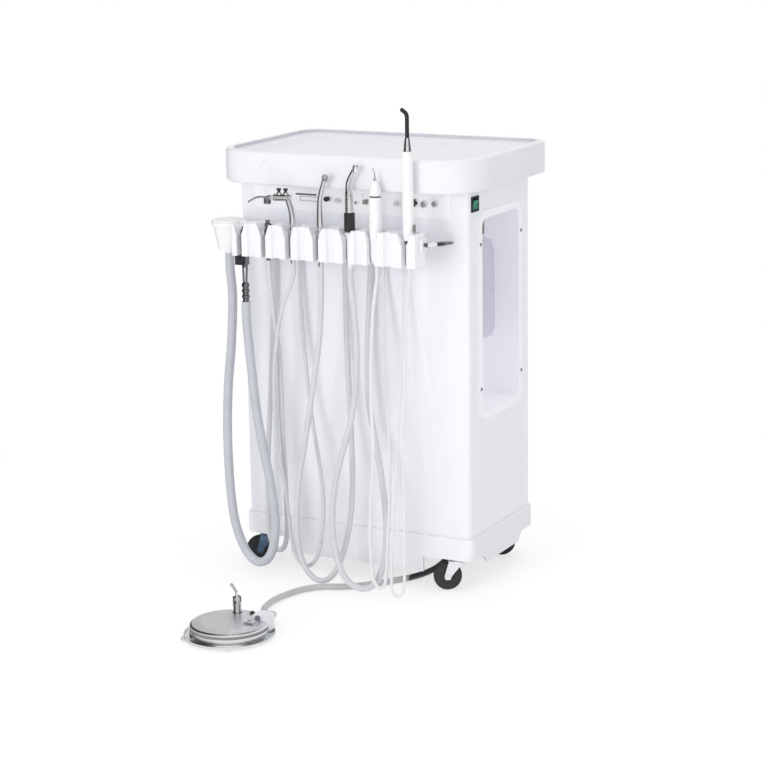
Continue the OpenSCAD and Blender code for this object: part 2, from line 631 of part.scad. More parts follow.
// Stamped fork: swivel plate, two tapering legs and the axle
module fork(i) color(chrome) translate([caster_places[i][0], caster_places[i][1], 0]) rotate(caster_turn[i]) {
    difference() {
        union() {
            translate([0, 0, head_z + run]) cylinder(r = 16, h = 3);
            translate([0, 0, head_z + 3]) cylinder(r = 11, h = pan_z - head_z - 3 - gap);
            for (s = [-1, 1]) translate([s * (wheel_w / 2 + fork_gap + 1), 0, 0]) rotate([90, 0, -90])
                linear_extrude(2, center = true) polygon([[-13, head_z + 3], [14, head_z + 3],
                    [caster_trail + 6, wheel_r + 1], [caster_trail + 4, wheel_r - 5],
                    [caster_trail - 4, wheel_r - 5], [caster_trail - 7, wheel_r + 2]]);
        }
        cylinder(r = stem_r + run, h = 2 * pan_z);
    }
    translate([-wheel_w / 2 - fork_gap - 4, -caster_trail, wheel_r]) rotate([0, 90, 0])
        cylinder(r = axle_r, h = wheel_w + 2 * fork_gap + 8);
}

// Wheel: rubber tyre on a plastic hub with a recessed web
module wheel(i) translate([caster_places[i][0], caster_places[i][1], 0]) rotate(caster_turn[i])
    translate([0, -caster_trail, wheel_r]) rotate([0, 90, 0]) {
        color(dark) rotate_extrude() polygon([[wheel_r * 0.72, -wheel_w / 2 + 1], [wheel_r - 3, -wheel_w / 2],
            [wheel_r - 0.6, -wheel_w / 2 + 3], [wheel_r, 0], [wheel_r - 0.6, wheel_w / 2 - 3],
            [wheel_r - 3, wheel_w / 2], [wheel_r * 0.72, wheel_w / 2 - 1]]);
        color(grey) rotate_extrude() polygon([[axle_r + run, -wheel_w / 2], [8, -wheel_w / 2], [8, -3],
            [wheel_r * 0.6, -3], [wheel_r * 0.6, -wheel_w / 2 + 1], [wheel_r * 0.72, -wheel_w / 2 + 1],
            [wheel_r * 0.72, wheel_w / 2 - 1], [wheel_r * 0.6, wheel_w / 2 - 1], [wheel_r * 0.6, 3],
            [8, 3], [8, wheel_w / 2], [axle_r + run, wheel_w / 2]]);
    }

module fork_fl() fork(0);
module fork_fr() fork(1);
module fork_rl() fork(2);
module fork_rr() fork(3);
module wheel_fl() wheel(0);
module wheel_fr() wheel(1);
module wheel_rl() wheel(2);
module wheel_rr() wheel(3);

// ---------------------------------------------------------------- suction side

cup_at = [-217, -165];
cup_z = [586, 636];
cup_r = [19, 28];
// Solids collector: tapered cup with a rim, hung on the bar's end, and a hose spigot below
module collector_cup() color(white) translate([cup_at[0], cup_at[1], 0]) {
    difference() {
        union() {
            turned([[cup_r[0], cup_z[0]], [cup_r[1] - 1, cup_z[1] - 8], [cup_r[1] + 2, cup_z[1] - 7], [cup_r[1] + 2, cup_z[1]]]);
            box([0, bar_x[0] - cup_at[0] - gap], [-14, 4], [cup_z[1] - 24, cup_z[1] - 10]);
        }
        turned([[cup_r[0] - 2, cup_z[0] + 2], [cup_r[1] - 3, cup_z[1] - 8], [cup_r[1] - 1, cup_z[1] + 1]]);
    }
    translate([0, 0, cup_z[0] - 6]) cylinder(r = suction_hose_d / 2 + 1, h = 6 + eps);
}

// Press-on lid with a finger rib
module collector_lid() color(white) translate([cup_at[0], cup_at[1], 0]) {
    turned([[cup_r[1] - 5, cup_z[1] - 4], [cup_r[1] - 3.6, cup_z[1] - 4], [cup_r[1] - 2.4, cup_z[1] + gap],
        [cup_r[1] + 2, cup_z[1] + gap], [cup_r[1] + 2, cup_z[1] + 2.2], [cup_r[1] - 2, cup_z[1] + 3]]);
    translate([-10, -1.5, cup_z[1] + 2]) cube([20, 3, 2.6]);
}

suction_x = holder_x[0];
neck_seat = seat_z(0, suction_r + neck_bulge) + 1;
suction_tail = 500;
spindle_z = 574;
// High-volume suction valve: neck up through its holder, valve block, twin struts and a ribbed tailpiece
module suction_valve() color(chrome) translate([suction_x, row_y, 0]) {
    turned(tall([[suction_r, 560], [suction_r, neck_seat - 3], [suction_r + neck_bulge, neck_seat],
        [suction_r, neck_seat + 4], [suction_r, neck_seat + 6]]));
    difference() {
        box([-16, 5], [-7, 7], [565, bar_z - gap]);
        translate([-9, 10, spindle_z]) rotate([90, 0, 0]) cylinder(r = 3 + run, h = 20);
    }
    for (s = [-1, 1]) bar_between([s * 4, 0, 566], [s * 2.5 - 1, 0, 530], 1.8);
    turned([[5.6, suction_tail], [5.6, 506], [7, 507], [7, 511], [5.6, 512], [5.6, 516], [7, 517], [7, 521],
        [5.6, 522], [5.6, 526], [7, 527], [7, 531], [4, 534]]);
}

// Thumb lever of the suction valve
module suction_lever() color(chrome) translate([suction_x - 9, row_y, spindle_z]) rotate([90, 0, 0]) {
    translate([0, 0, -7]) cylinder(r = 3, h = 17);
    translate([0, 0, 7 + gap]) cylinder(r = 5, h = 3);
    translate([-2, -2, 7 + gap]) cube([4, 9, 3]);
}

saliva_x = holder_x[1];
// Saliva ejector's valve: ribbed barrel with a small side knob
module saliva_valve() color(chrome) translate([saliva_x, row_y, 0]) {
    turned(tall([[saliva_r - 1, 576], [saliva_r - 1, 584], [saliva_r, 586],
        [saliva_r, seat_z(1, saliva_r + 1.2)], [saliva_r + 1.2, seat_z(1, saliva_r + 1.2)],
        [saliva_r + 1.2, seat_z(1, saliva_r + 1.2) + 5], [saliva_r - 0.6, seat_z(1, saliva_r + 1.2) + 6],
        [saliva_r - 0.6, 634], [saliva_r + 1, 635], [saliva_r + 1, 640],
        [saliva_r - 0.8, 641], [saliva_r - 0.8, 646]]));
    above() translate([0, 0, 637.5]) rotate([0, 90, 0]) cylinder(r = 1.6, h = 9);
}

// Clear hooked tip pushed over the valve's nose
tip_r = 3;
hook_r = 10;
hook_z = 737;
module saliva_tip() color(clear) above() translate([saliva_x, row_y, 0]) {
    translate([0, 0, 646]) cylinder(r = tip_r, h = hook_z - 646);
    translate([-hook_r, 0, hook_z]) rotate([90, 0, 0]) rotate_extrude(angle = 180) translate([hook_r, 0]) circle(tip_r);
    translate([-2 * hook_r, 0, hook_z - 10]) cylinder(r = tip_r, h = 10);
}

// ---------------------------------------------------------------- three-way syringe

syringe_x = holder_x[2];
head_x = syringe_x - 8;
head_top = 687;
nozzle_x = head_x - 29;
syringe_turn = 10;    // turned in its holder, so that the nozzle passes in front of the saliva tip
module syringe_place() translate([syringe_x, row_y, 0]) rotate(syringe_turn) translate([-syringe_x, 0, 0]) children();

// Handle, shoulder and the head that lies across its top
module syringe_body() color(chrome) syringe_place() {
    difference() {
        union() {
            translate([syringe_x, 0, 0]) turned(tall([[4.4, 574], [4.4, 582], [syringe_r - 0.6, 585],
                [syringe_r, 590], [syringe_r, seat_z(2, syringe_r + 1.2)],
                [syringe_r + 1.2, seat_z(2, syringe_r + 1.2)], [syringe_r + 1.2, 632],
                [syringe_r - 0.4, 636], [syringe_r - 0.6, 662]]));
            above() bar_between([syringe_x, 0, 660], [head_x, 0, head_top], syringe_r - 0.6);
            above() translate([syringe_x, 0, 661]) sphere(r = syringe_r - 0.6 + elbow);
            above() translate([head_x + 6, 0, head_top]) rotate([0, -90, 0]) cylinder(r = 6.2, h = 31);
            above() for (x = button_x) translate([x, 0, head_top + 4]) cylinder(r = 4.4, h = 5);
        }
        above() for (x = button_x) translate([x, 0, head_top + 1]) cylinder(r = 2.6 + run, h = 12);
        above() translate([nozzle_x + 8, 0, head_top]) rotate([0, -90, 0]) cylinder(r = 2.4 + run, h = 9);
    }
}

button_x = [head_x - 3, head_x - 15];
module syringe_button(x) color(dark) above() syringe_place() translate([x, 0, head_top]) {
    translate([0, 0, 5]) cylinder(r = 2.6, h = 7.4);
    translate([0, 0, 12.4]) turned([[3.8, 0], [4, 1], [4, 2.4], [3.2, 3.4]]);
}
module syringe_air_button() syringe_button(button_x[0]);
module syringe_water_button() syringe_button(button_x[1]);

// Nozzle that turns in the head, with its tip bent down
module syringe_nozzle() color(chrome) above() syringe_place() translate([nozzle_x, 0, head_top]) {
    translate([7, 0, 0]) rotate([0, -90, 0]) cylinder(r = 2.4, h = 8);
    translate([-gap, 0, 0]) rotate([0, -90, 0]) turned([[4, 0], [4, 5], [2.2, 7]]);
    translate([-5, 0, 0]) rotate([0, -90, 0]) cylinder(r = 1.9, h = 21);
    translate([-26, 0, 0]) sphere(r = 1.9 + elbow);
    bar_between([-26, 0, 0], [-43, 0, -10], 1.9);
}

// ---------------------------------------------------------------- handpieces

turbine_x = holder_x[3];
// High-speed turbine handpiece: coupling, slim barrel, bent neck and head
module turbine_handpiece() color(chrome) translate([turbine_x, row_y, 0]) {
    turned(tall([[4.4, 572], [4.4, 586], [turbine_r, 588], [turbine_r, seat_z(3, 7)], [7, seat_z(3, 7)], [7, 632],
        [6.2, 633], [6.2, 636], [6.6, 638], [5.4, 660], [4.6, 684]]));
    above() translate([0, 0, 684]) sphere(r = 4.6 + elbow);
    above() bar_between([0, 0, 684], [9, -1, 716], 4.2);
    above() translate([12.5, -2, 724]) rotate([62, 0, 28]) translate([0, 0, -6])
        turned([[3.2, 0], [5.4, 1], [5.4, 10.5], [4.8, 12.5], [3, 13]]);
    above() translate([9, -1, 716]) sphere(r = 4.2 + elbow);
}

motor_x = holder_x[4];
// Contra-angle: sheath, angled neck and the head with its push cap
module contra_angle() color(chrome) above() translate([motor_x, row_y, 0]) {
    turned([[5, 668], [7.3, 668], [7.3, 690], [6.8, 700], [5.4, 706]]);
    bar_between([0, 0, 703], [-4, 0, 716], 4.8);
    translate([-4, 0, 716]) sphere(r = 4.8 + elbow);
    bar_between([-4, 0, 716], [12, -1, 741], 3.9);
    translate([13.5, -1, 743]) rotate([8, 16, 0]) translate([0, 0, -7]) turned([[3.4, 0], [5.2, 2], [5.2, 10], [4.6, 11],
        [4.6, 12], [3.8, 13]]);
}

// Slow-speed air motor: pale cone, tail and the nose that the contra-angle pushes onto
module slow_motor() color(white) translate([motor_x, row_y, 0])
    turned(tall([[4.8, 572], [4.8, 585], [motor_r, 588], [motor_r, flare_z - 0.6], [9.4, min(flare_z + 11, 635)],
        [9.4, 636], [6.9, 636.3], [6.9, 664], [5, 664.3], [5, 668]]));

// Knurled collar that turns to reverse the motor
module motor_collar() color(dark) above() translate([motor_x, row_y, 0]) difference() {
    turned([[9, 636.6], [9.3, 637.6], [9.3, 666], [8.4, 667.7]]);
    translate([0, 0, 630]) cylinder(r = 6.9 + run, h = 34.6);
    translate([0, 0, 630]) cylinder(r = 5 + gap, h = 50);
    for (a = [0:22.5:337.5]) rotate(a) translate([9.9, 0, 640]) cylinder(r = 0.9, h = 23);
}

scaler_x = holder_x[5];
// Ultrasonic scaler: white body with a dark seal ring and a nose cone
module scaler_body() color(white) translate([scaler_x, row_y, 0])
    turned(tall([[4, 580], [6, 584], [scaler_r - 1, 592], [scaler_r, 600], [scaler_r, seat_z(5, scaler_r + 1)],
        [scaler_r + 1, seat_z(5, scaler_r + 1)], [scaler_r + 1, 696], [9.6, 697], [9.6, 699], [10.6, 700],
        [8.6, 710], [5, 722], [3.4, 724]]));

// Steel tip with a sickle bend
module scaler_tip() color(chrome) above() translate([scaler_x, row_y, 0]) {
    translate([0, 0, 724]) turned([[2.8, 0], [2.8, 3], [1.4, 5]]);
    bar_between([0, 0, 728], [-1, 0, 737], 1.2);
    translate([-1, 0, 737]) sphere(r = 1.2 + elbow);
    bar_between([-1, 0, 737], [-4.5, 0, 746], 0.9);
}

// ---------------------------------------------------------------- curing light

lamp_x = holder_x[6];
lamp_seat = seat_z(6, 8.8);
// Body of the curing light with its stem and its tapered nose
module light_body() color(white) translate([lamp_x, row_y, 0]) difference() {
    turned(tall([[3.6, 580], [light_r - 1, 584], [light_r, 590], [light_r, lamp_seat - (8.8 - light_r) / funnel(6)],
        [8.8, lamp_seat], [9.3, lamp_seat + 12], [9.3, 768], [8.2, 775], [6.6, 776.5], [4.4, 797], [4.1, 798]]));
    above() translate([0, 0, 786]) cylinder(r = 3.4 + run, h = 20);
    above() translate([10, 0, 648]) rotate([0, 90, 0]) translate([0, 0, -7]) cylinder(r = 3 + run, h = 11);
}

// Light guide: black rod with its tip bent over, turning in the nose
module light_guide() color(dark) above() translate([lamp_x, row_y, 0]) {
    translate([0, 0, 786 + gap]) cylinder(r = 3.4, h = 46);
    translate([0, 0, 800]) cylinder(r = 3, h = 32.9);
    translate([-10, 0, 832 + gap]) rotate([90, 0, 0]) rotate_extrude(angle = 55) translate([10, 0]) circle(3.4);
    translate([-10 + 10 * cos(55), 0, 832 + gap + 10 * sin(55)]) rotate([0, -55, 0]) turned([[3, -0.6], [3, 0],
        [3.4, 0], [3, 8], [2.4, 8.4]]);
}

// Push button on the light's right side
module light_button() color(dark) above() translate([lamp_x + 5, row_y, 648]) rotate([0, 90, 0]) {
    cylinder(r = 3, h = 6);
    for (s = [-1, 1]) translate([s * 4.5, 0, 5.7]) cylinder(r = 2.5, h = 2);
    translate([-4.5, -2.5, 5.7]) cube([9, 5, 2]);
}

// ---------------------------------------------------------------- foot control

foot_at = [-foot_left, -foot_out];
foot_base_r = foot_base_d / 2;
foot_disc_r = foot_disc_d / 2;
post_at = [-10, 43];
block_size = [26, 26, 30];
foot_button_at = [16, 48];
disc_t = 4;
disc_skirt = foot_h - disc_t - 3;
drum_top = disc_skirt - foot_travel - 0.6;
spindle_r = 7;
ear_turn = 224;
// Base plate with a lip, feet, the drum, the toggle valve's post, the hose block and a fixing ear
module foot_base() color(chrome) {
    translate([foot_at[0], foot_at[1], 0]) difference() {
        union() {
            turned([[foot_base_r - 6, 3], [foot_base_r, 4], [foot_base_r, 8.5], [foot_base_r - 1.5, 8.5],
                [foot_base_r - 3, 6], [foot_disc_r + 2, 6], [foot_disc_r + 1, 8], [foot_disc_r + 1, drum_top]]);
            for (a = [60:120:300]) rotate(a) translate([foot_base_r - 12, 0, 0]) cylinder(r = 7, h = 4);
            rotate(ear_turn) translate([foot_base_r - 4, 0, 4.6]) cylinder(r = 10, h = 3);
            translate([post_at[0], post_at[1], 10]) cylinder(r = 6.4, h = 38);
            translate([post_at[0], post_at[1], 40]) turned([[7.2, 0], [7.2, 14], [5, 17]]);
            translate([foot_button_at[0], foot_button_at[1], 10]) cylinder(r = 7, h = foot_h - 10);
        }
        rotate(ear_turn) translate([foot_base_r - 5, 0, 3]) cylinder(r = 2.5, h = 8);
        translate([0, 0, 5]) cylinder(r = spindle_r + run, h = 40);
        translate([foot_button_at[0], foot_button_at[1], 12]) cylinder(r = 4 + run, h = 40);
        translate([post_at[0], post_at[1], 47]) rotate([90, 0, 0]) cylinder(r = 3 + run, h = 20, center = true);
        translate([post_at[0] - 10, post_at[1] - 2.7, 47]) cube([20, 5.4, 20]);
    }
    hose_end() {
        translate([-block_size[0] / 2, -block_size[1], 7]) cube(block_size);
        translate([-3, -block_size[1] + eps, foot_h + 4.6]) rotate([90, 0, 0]) cylinder(r = 4.2, h = 4);
    }
}

// The floor under the point where the foot control's hose leaves its block
module hose_end() translate([foot_route[0][0], foot_route[0][1], 0]) children();

// Treadle plate: shallow dome on a spindle, cut back round the post, the button and the hose block, with a stop bracket
module foot_disc() color(chrome) {
    hose_end() {
        for (x = [-16, -2]) translate([x, -block_size[1] - 24, foot_h - 2]) cube([3, 18, 5]);
        translate([-16, -block_size[1] - 24, foot_h - 2]) cube([17, 3, 5]);
    }
    foot_plate();
}

module foot_plate() difference() {
    translate([foot_at[0], foot_at[1], 0]) difference() {
        union() {
            translate([0, 0, 5.5 + foot_travel]) cylinder(r = spindle_r, h = disc_skirt - foot_travel);
            turned([[foot_disc_r - 1, disc_skirt], [foot_disc_r, disc_skirt + 1], [foot_disc_r, foot_h - disc_t],
                [foot_disc_r - 3, foot_h - 1.6], [foot_disc_r - 20, foot_h]]);
        }
        translate([0, 0, disc_skirt - 1]) difference() {
            cylinder(r = foot_disc_r - 4, h = 3);
            cylinder(r = spindle_r, h = 3);
        }
        translate([post_at[0], post_at[1], 10]) cylinder(r = 8.4, h = 40);
        translate([foot_button_at[0], foot_button_at[1], 10]) cylinder(r = 8, h = 40);
    }
    hose_end() translate([-block_size[0] / 2 - 1, -block_size[1] - 1, 5]) cube([block_size[0] + 2, 80, 60]);
}

// Sprung push button for the air blast
module foot_button() color(dark) translate([foot_at[0] + foot_button_at[0], foot_at[1] + foot_button_at[1], 0])
    turned([[4, 16], [4, foot_h + 2], [3, foot_h + 3.5]]);

// Water toggle: cross barrel in the post and a bent lever
module foot_toggle() color(chrome) translate([foot_at[0] + post_at[0], foot_at[1] + post_at[1], 47]) {
    rotate([90, 0, 0]) cylinder(r = 3, h = 13, center = true);
    bar_between([0, 0, 0], [-1, 0, 16], 2.2);
    translate([-1, 0, 16]) sphere(r = 2.2 + elbow);
    bar_between([-1, 0, 16], [-8, -2, 28], 2.2);
    translate([-8, -2, 28]) sphere(r = 2.8);
}

// ---------------------------------------------------------------- routes of the hoses and cords

foot_port = [118, 36];
// From the collector's spigot down, round and up to the suction valve's tailpiece
suction_route = [[-217, -165, 580], [-217, -165, 550], [-212, -168, 500], [-215, -172, 420], [-222, -176, 340],
    [-224, -180, 260], [-220, -183, 170], [-213, -184, 100], [-196, -184, 50], [-162, -184, 24], [-132, -187, 46],
    [-124, -189, 110], [-134, -189, 180], [-155, -189, 290], [-166, -189, 390], [-172, -189, 464], [-172, -189, 500]];
saliva_route = [[-124, -189, 576], [-124, -189, 552], [-122, -184, 500], [-120, -168, 400], [-124, -158, 290],
    [-123, -154, 190], [-122, -154, 110], [-126, -152, 62], [-142, -150, 40], [-158, -149, 60], [-166, -146, 110],
    [-166, -140, 200], [-160, -134, 330], [-153, -129, 460], [-150, -127, 560], [-150, -127, 590]];
syringe_route = [[-75, -189, 574], [-75, -189, 556], [-84, -189, 530], [-104, -188, 480], [-121, -183, 400],
    [-129, -175, 320], [-127, -171, 240], [-115, -170, 170], [-107, -171, 100], [-100, -173, 56], [-84, -175, 30],
    [-64, -176, 32], [-46, -174, 70], [-38, -168, 140], [-50, -158, 210], [-70, -146, 290], [-86, -137, 400],
    [-96, -130, 500], [-98, -127, 566], [-98, -127, 590]];
turbine_route = [[-21, -189, 572], [-21, -189, 550], [-23, -189, 500], [-28, -189, 440], [-42, -189, 360],
    [-60, -190, 260], [-75, -191, 180], [-80, -192, 110], [-75, -193, 60], [-60, -194, 26], [-37, -192, 10],
    [-14, -186, 20], [2, -178, 56], [12, -166, 110], [14, -156, 180], [8, -146, 270], [1, -139, 360],
    [-5, -132, 450], [-8, -127, 560], [-8, -127, 590]];
motor_route = [[36, -189, 572], [36, -189, 550], [42, -190, 500], [46, -191, 440], [44, -192, 376], [34, -193, 310],
    [16, -195, 248], [2, -198, 190], [-3, -201, 130], [3, -204, 76], [22, -207, 30], [52, -206, 12], [80, -202, 24],
    [94, -194, 64], [93, -182, 126], [79, -167, 194], [58, -152, 268], [42, -143, 340], [38, -134, 440],
    [42, -127, 560], [42, -127, 590]];
scaler_route = [[86, -189, 580], [86, -189, 558], [79, -192, 500], [76, -196, 420], [77, -200, 340], [82, -204, 256],
    [79, -208, 190], [76, -211, 128], [81, -214, 64], [90, -214, 28], [100, -213, 22], [106, -210, 50],
    [106, -202, 110], [104, -188, 190], [97, -174, 280], [86, -160, 380], [74, -142, 480], [66, -127, 566],
    [66, -127, 590]];
light_route = [[147, -189, 580], [147, -189, 558], [142, -190, 500], [138, -193, 420], [138, -197, 340],
    [139, -203, 240], [142, -209, 140], [144, -214, 70], [141, -217, 30], [131, -218, 11], [121, -216, 30],
    [118, -208, 90], [117, -194, 180], [116, -178, 280], [114, -160, 380], [111, -142, 480], [106, -127, 566],
    [106, -127, 590]];
// Along the floor from the foot control, under the skirt and up into the pan
foot_route = [[4, -440, 25], [4, -424, 25], [-8, -403, 18], [-34, -382, 9], [-54, -353, 6], [-61, -312, 6],
    [-56, -272, 6], [-44, -236, 6], [-22, -211, 6], [6, -197, 6], [32, -180, 6], [54, -156, 6], [74, -130, 6],
    [94, -102, 6], [108, -66, 6], [115, -28, 8], [118, 6, 16], [118, 28, 30], [118, 36, 44], [118, 36, 57]];

// Suction, saliva, syringe, turbine and motor tubing
module instrument_hoses() color(hose_grey) {
    hose(hung(suction_route), suction_hose_d);
    hose(hung(saliva_route), saliva_hose_d);
    hose(hung(syringe_route), syringe_hose_d);
    hose(hung(turbine_route), turbine_hose_d);
    hose(hung(motor_route), motor_hose_d);
}

// Electric cords of the scaler and the curing light
module instrument_cords() color(white) {
    hose(hung(scaler_route), scaler_cord_d);
    hose(hung(light_route), light_cord_d);
}

module foot_hose() color(hose_grey) hose(foot_route, foot_hose_d, [0, 0, 1]);

// ---------------------------------------------------------------- nodes

worktop();
cabinet_shell();
lifted(strip_lift) control_strip();
back_panel();
base_tray();
chassis();
side_pocket();
pocket_screws();
water_bottle();
lifted(strip_lift) switch_frame();
lifted(strip_lift) switch_rocker();
lifted(row_lift) holder_bar();
lifted(row_lift) holder_arms();
lifted(row_lift) hose_ports();
lifted(strip_lift) quick_connects();
power_inlet();
compressor();
air_tank();
waste_bottle();
valve_manifold();
lifted(strip_lift) water_knob();
lifted(strip_lift) air_knob();
lifted(strip_lift) scaler_knob();
lifted(strip_lift) light_knob();
lifted(strip_lift) toggle_switch();
lifted(strip_lift) panel_button();
fork_fl();
fork_fr();
fork_rl();
fork_rr();
wheel_fl();
wheel_fr();
wheel_rl();
wheel_rr();
lifted(row_lift) collector_cup();
lifted(row_lift) collector_lid();
lifted(row_lift) suction_valve();
lifted(row_lift) suction_lever();
lifted(row_lift) saliva_valve();
lifted(row_lift) saliva_tip();
lifted(row_lift) syringe_body();
lifted(row_lift) syringe_nozzle();
lifted(row_lift) syringe_air_button();
lifted(row_lift) syringe_water_button();
lifted(row_lift) turbine_handpiece();
lifted(row_lift) contra_angle();
lifted(row_lift) slow_motor();
lifted(row_lift) motor_collar();
lifted(row_lift) scaler_body();
lifted(row_lift) scaler_tip();
lifted(row_lift) light_body();
lifted(row_lift) light_guide();
lifted(row_lift) light_button();
foot_base();
foot_disc();
foot_button();
foot_toggle();
instrument_hoses();
instrument_cords();
foot_hose();
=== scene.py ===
"""Looks of the portable dental unit: finishes, moulded shells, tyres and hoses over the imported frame."""

from __future__ import annotations

import json
import logging
import math
from collections.abc import Mapping, Sequence
from dataclasses import dataclass, field
from enum import Enum

import bmesh
import bpy
from mathutils import Matrix, Vector

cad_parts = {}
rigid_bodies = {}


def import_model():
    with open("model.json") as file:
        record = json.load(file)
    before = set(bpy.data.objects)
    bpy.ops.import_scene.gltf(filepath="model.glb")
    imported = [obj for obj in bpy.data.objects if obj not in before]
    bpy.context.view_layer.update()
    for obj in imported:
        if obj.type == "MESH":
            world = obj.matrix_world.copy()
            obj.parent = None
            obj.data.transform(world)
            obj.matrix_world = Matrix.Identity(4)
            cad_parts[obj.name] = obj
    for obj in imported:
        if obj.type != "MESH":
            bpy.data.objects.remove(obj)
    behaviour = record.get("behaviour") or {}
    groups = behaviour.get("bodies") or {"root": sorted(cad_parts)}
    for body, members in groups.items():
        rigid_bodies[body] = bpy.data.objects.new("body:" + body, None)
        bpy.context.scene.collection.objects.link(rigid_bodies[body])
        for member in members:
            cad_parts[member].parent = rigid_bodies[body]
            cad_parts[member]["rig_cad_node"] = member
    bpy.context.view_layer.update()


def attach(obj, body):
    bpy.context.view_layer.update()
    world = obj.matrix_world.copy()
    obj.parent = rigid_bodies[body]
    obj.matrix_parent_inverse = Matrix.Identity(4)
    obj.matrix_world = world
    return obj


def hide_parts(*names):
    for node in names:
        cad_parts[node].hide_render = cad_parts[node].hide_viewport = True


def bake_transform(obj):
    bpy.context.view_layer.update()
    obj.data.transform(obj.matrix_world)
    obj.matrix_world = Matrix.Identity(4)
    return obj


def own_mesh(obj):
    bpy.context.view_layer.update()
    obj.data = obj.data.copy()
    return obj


LOG = logging.getLogger("dental_unit")
MM = 0.001
SOFTENED_ANGLE = 35.0
WELD_GAP = 0.00001

Point = tuple[float, float, float]
Colour = tuple[float, float, float]
Profile = Sequence[tuple[float, float]]


class Side(Enum):
    """Corner of the base that a caster stands under."""

    FRONT_LEFT = "front_left"
    FRONT_RIGHT = "front_right"
    REAR_LEFT = "rear_left"
    REAR_RIGHT = "rear_right"

    @property
    def short(self) -> str:
        """The ending that the caster's CAD nodes carry."""
        return "".join(word[0] for word in self.value.split("_"))


class Stiffness(Enum):
    """How readily a hose bends."""

    MEDIUM = "medium"
    STIFF = "stiff"


# --------------------------------------------------------------------------- shader expressions


class Field:
    """A value that varies over a surface; arithmetic on it adds Math nodes to its graph."""

    def __init__(self, graph: Graph, socket: bpy.types.NodeSocket) -> None:
        """Wrap one output socket.

        Args:
            graph: The graph that the socket belongs to.
            socket: The output socket that carries the value.
        """
        self.graph = graph
        self.socket = socket

    def _math(self, operation: str, first: object, second: object = 0.0) -> Field:
        """Add a Math node on two values or fields and return its result."""
        made = self.graph.node("ShaderNodeMath", {"operation": operation}, {0: first, 1: second})
        return Field(self.graph, made.outputs[0])

    def __add__(self, other: Field | float) -> Field:
        """Field plus other."""
        return self._math("ADD", self, other)

    __radd__ = __add__

    def __mul__(self, other: Field | float) -> Field:
        """Field times other."""
        return self._math("MULTIPLY", self, other)

    __rmul__ = __mul__

    def __sub__(self, other: Field | float) -> Field:
        """Field minus other."""
        return self._math("SUBTRACT", self, other)

    def __rsub__(self, other: Field | float) -> Field:
        """Other minus field."""
        return self._math("SUBTRACT", other, self)

    def __truediv__(self, other: Field | float) -> Field:
        """Field divided by other."""
        return self._math("DIVIDE", self, other)

    def sine(self) -> Field:
        """Sine of the field, in radians."""
        return self._math("SINE", self)

    def root(self) -> Field:
        """Square root of the field."""
        return self._math("SQRT", self)

    def most(self, other: Field | float) -> Field:
        """The larger of the field and other."""
        return self._math("MAXIMUM", self, other)

    def ramp(self, low: float, high: float) -> Field:
        """Rise smoothly from 0 where the field is low to 1 where it is high.

        Args:
            low: Value of the field that gives 0.
            high: Value of the field that gives 1.

        Returns:
            The field mapped and clamped to 0..1.
        """
        made = self.graph.node(
            "ShaderNodeMapRange",
            {"interpolation_type": "SMOOTHSTEP", "clamp": True},
            {"Value": self, "From Min": low, "From Max": high, "To Min": 0.0, "To Max": 1.0},
        )
        return Field(self.graph, made.outputs[0])

    def band(self, low: float, high: float, edge: float) -> Field:
        """1 between low and high, falling to 0 over edge on either side."""
        return self.ramp(low - edge, low) * (1.0 - self.ramp(high, high + edge))


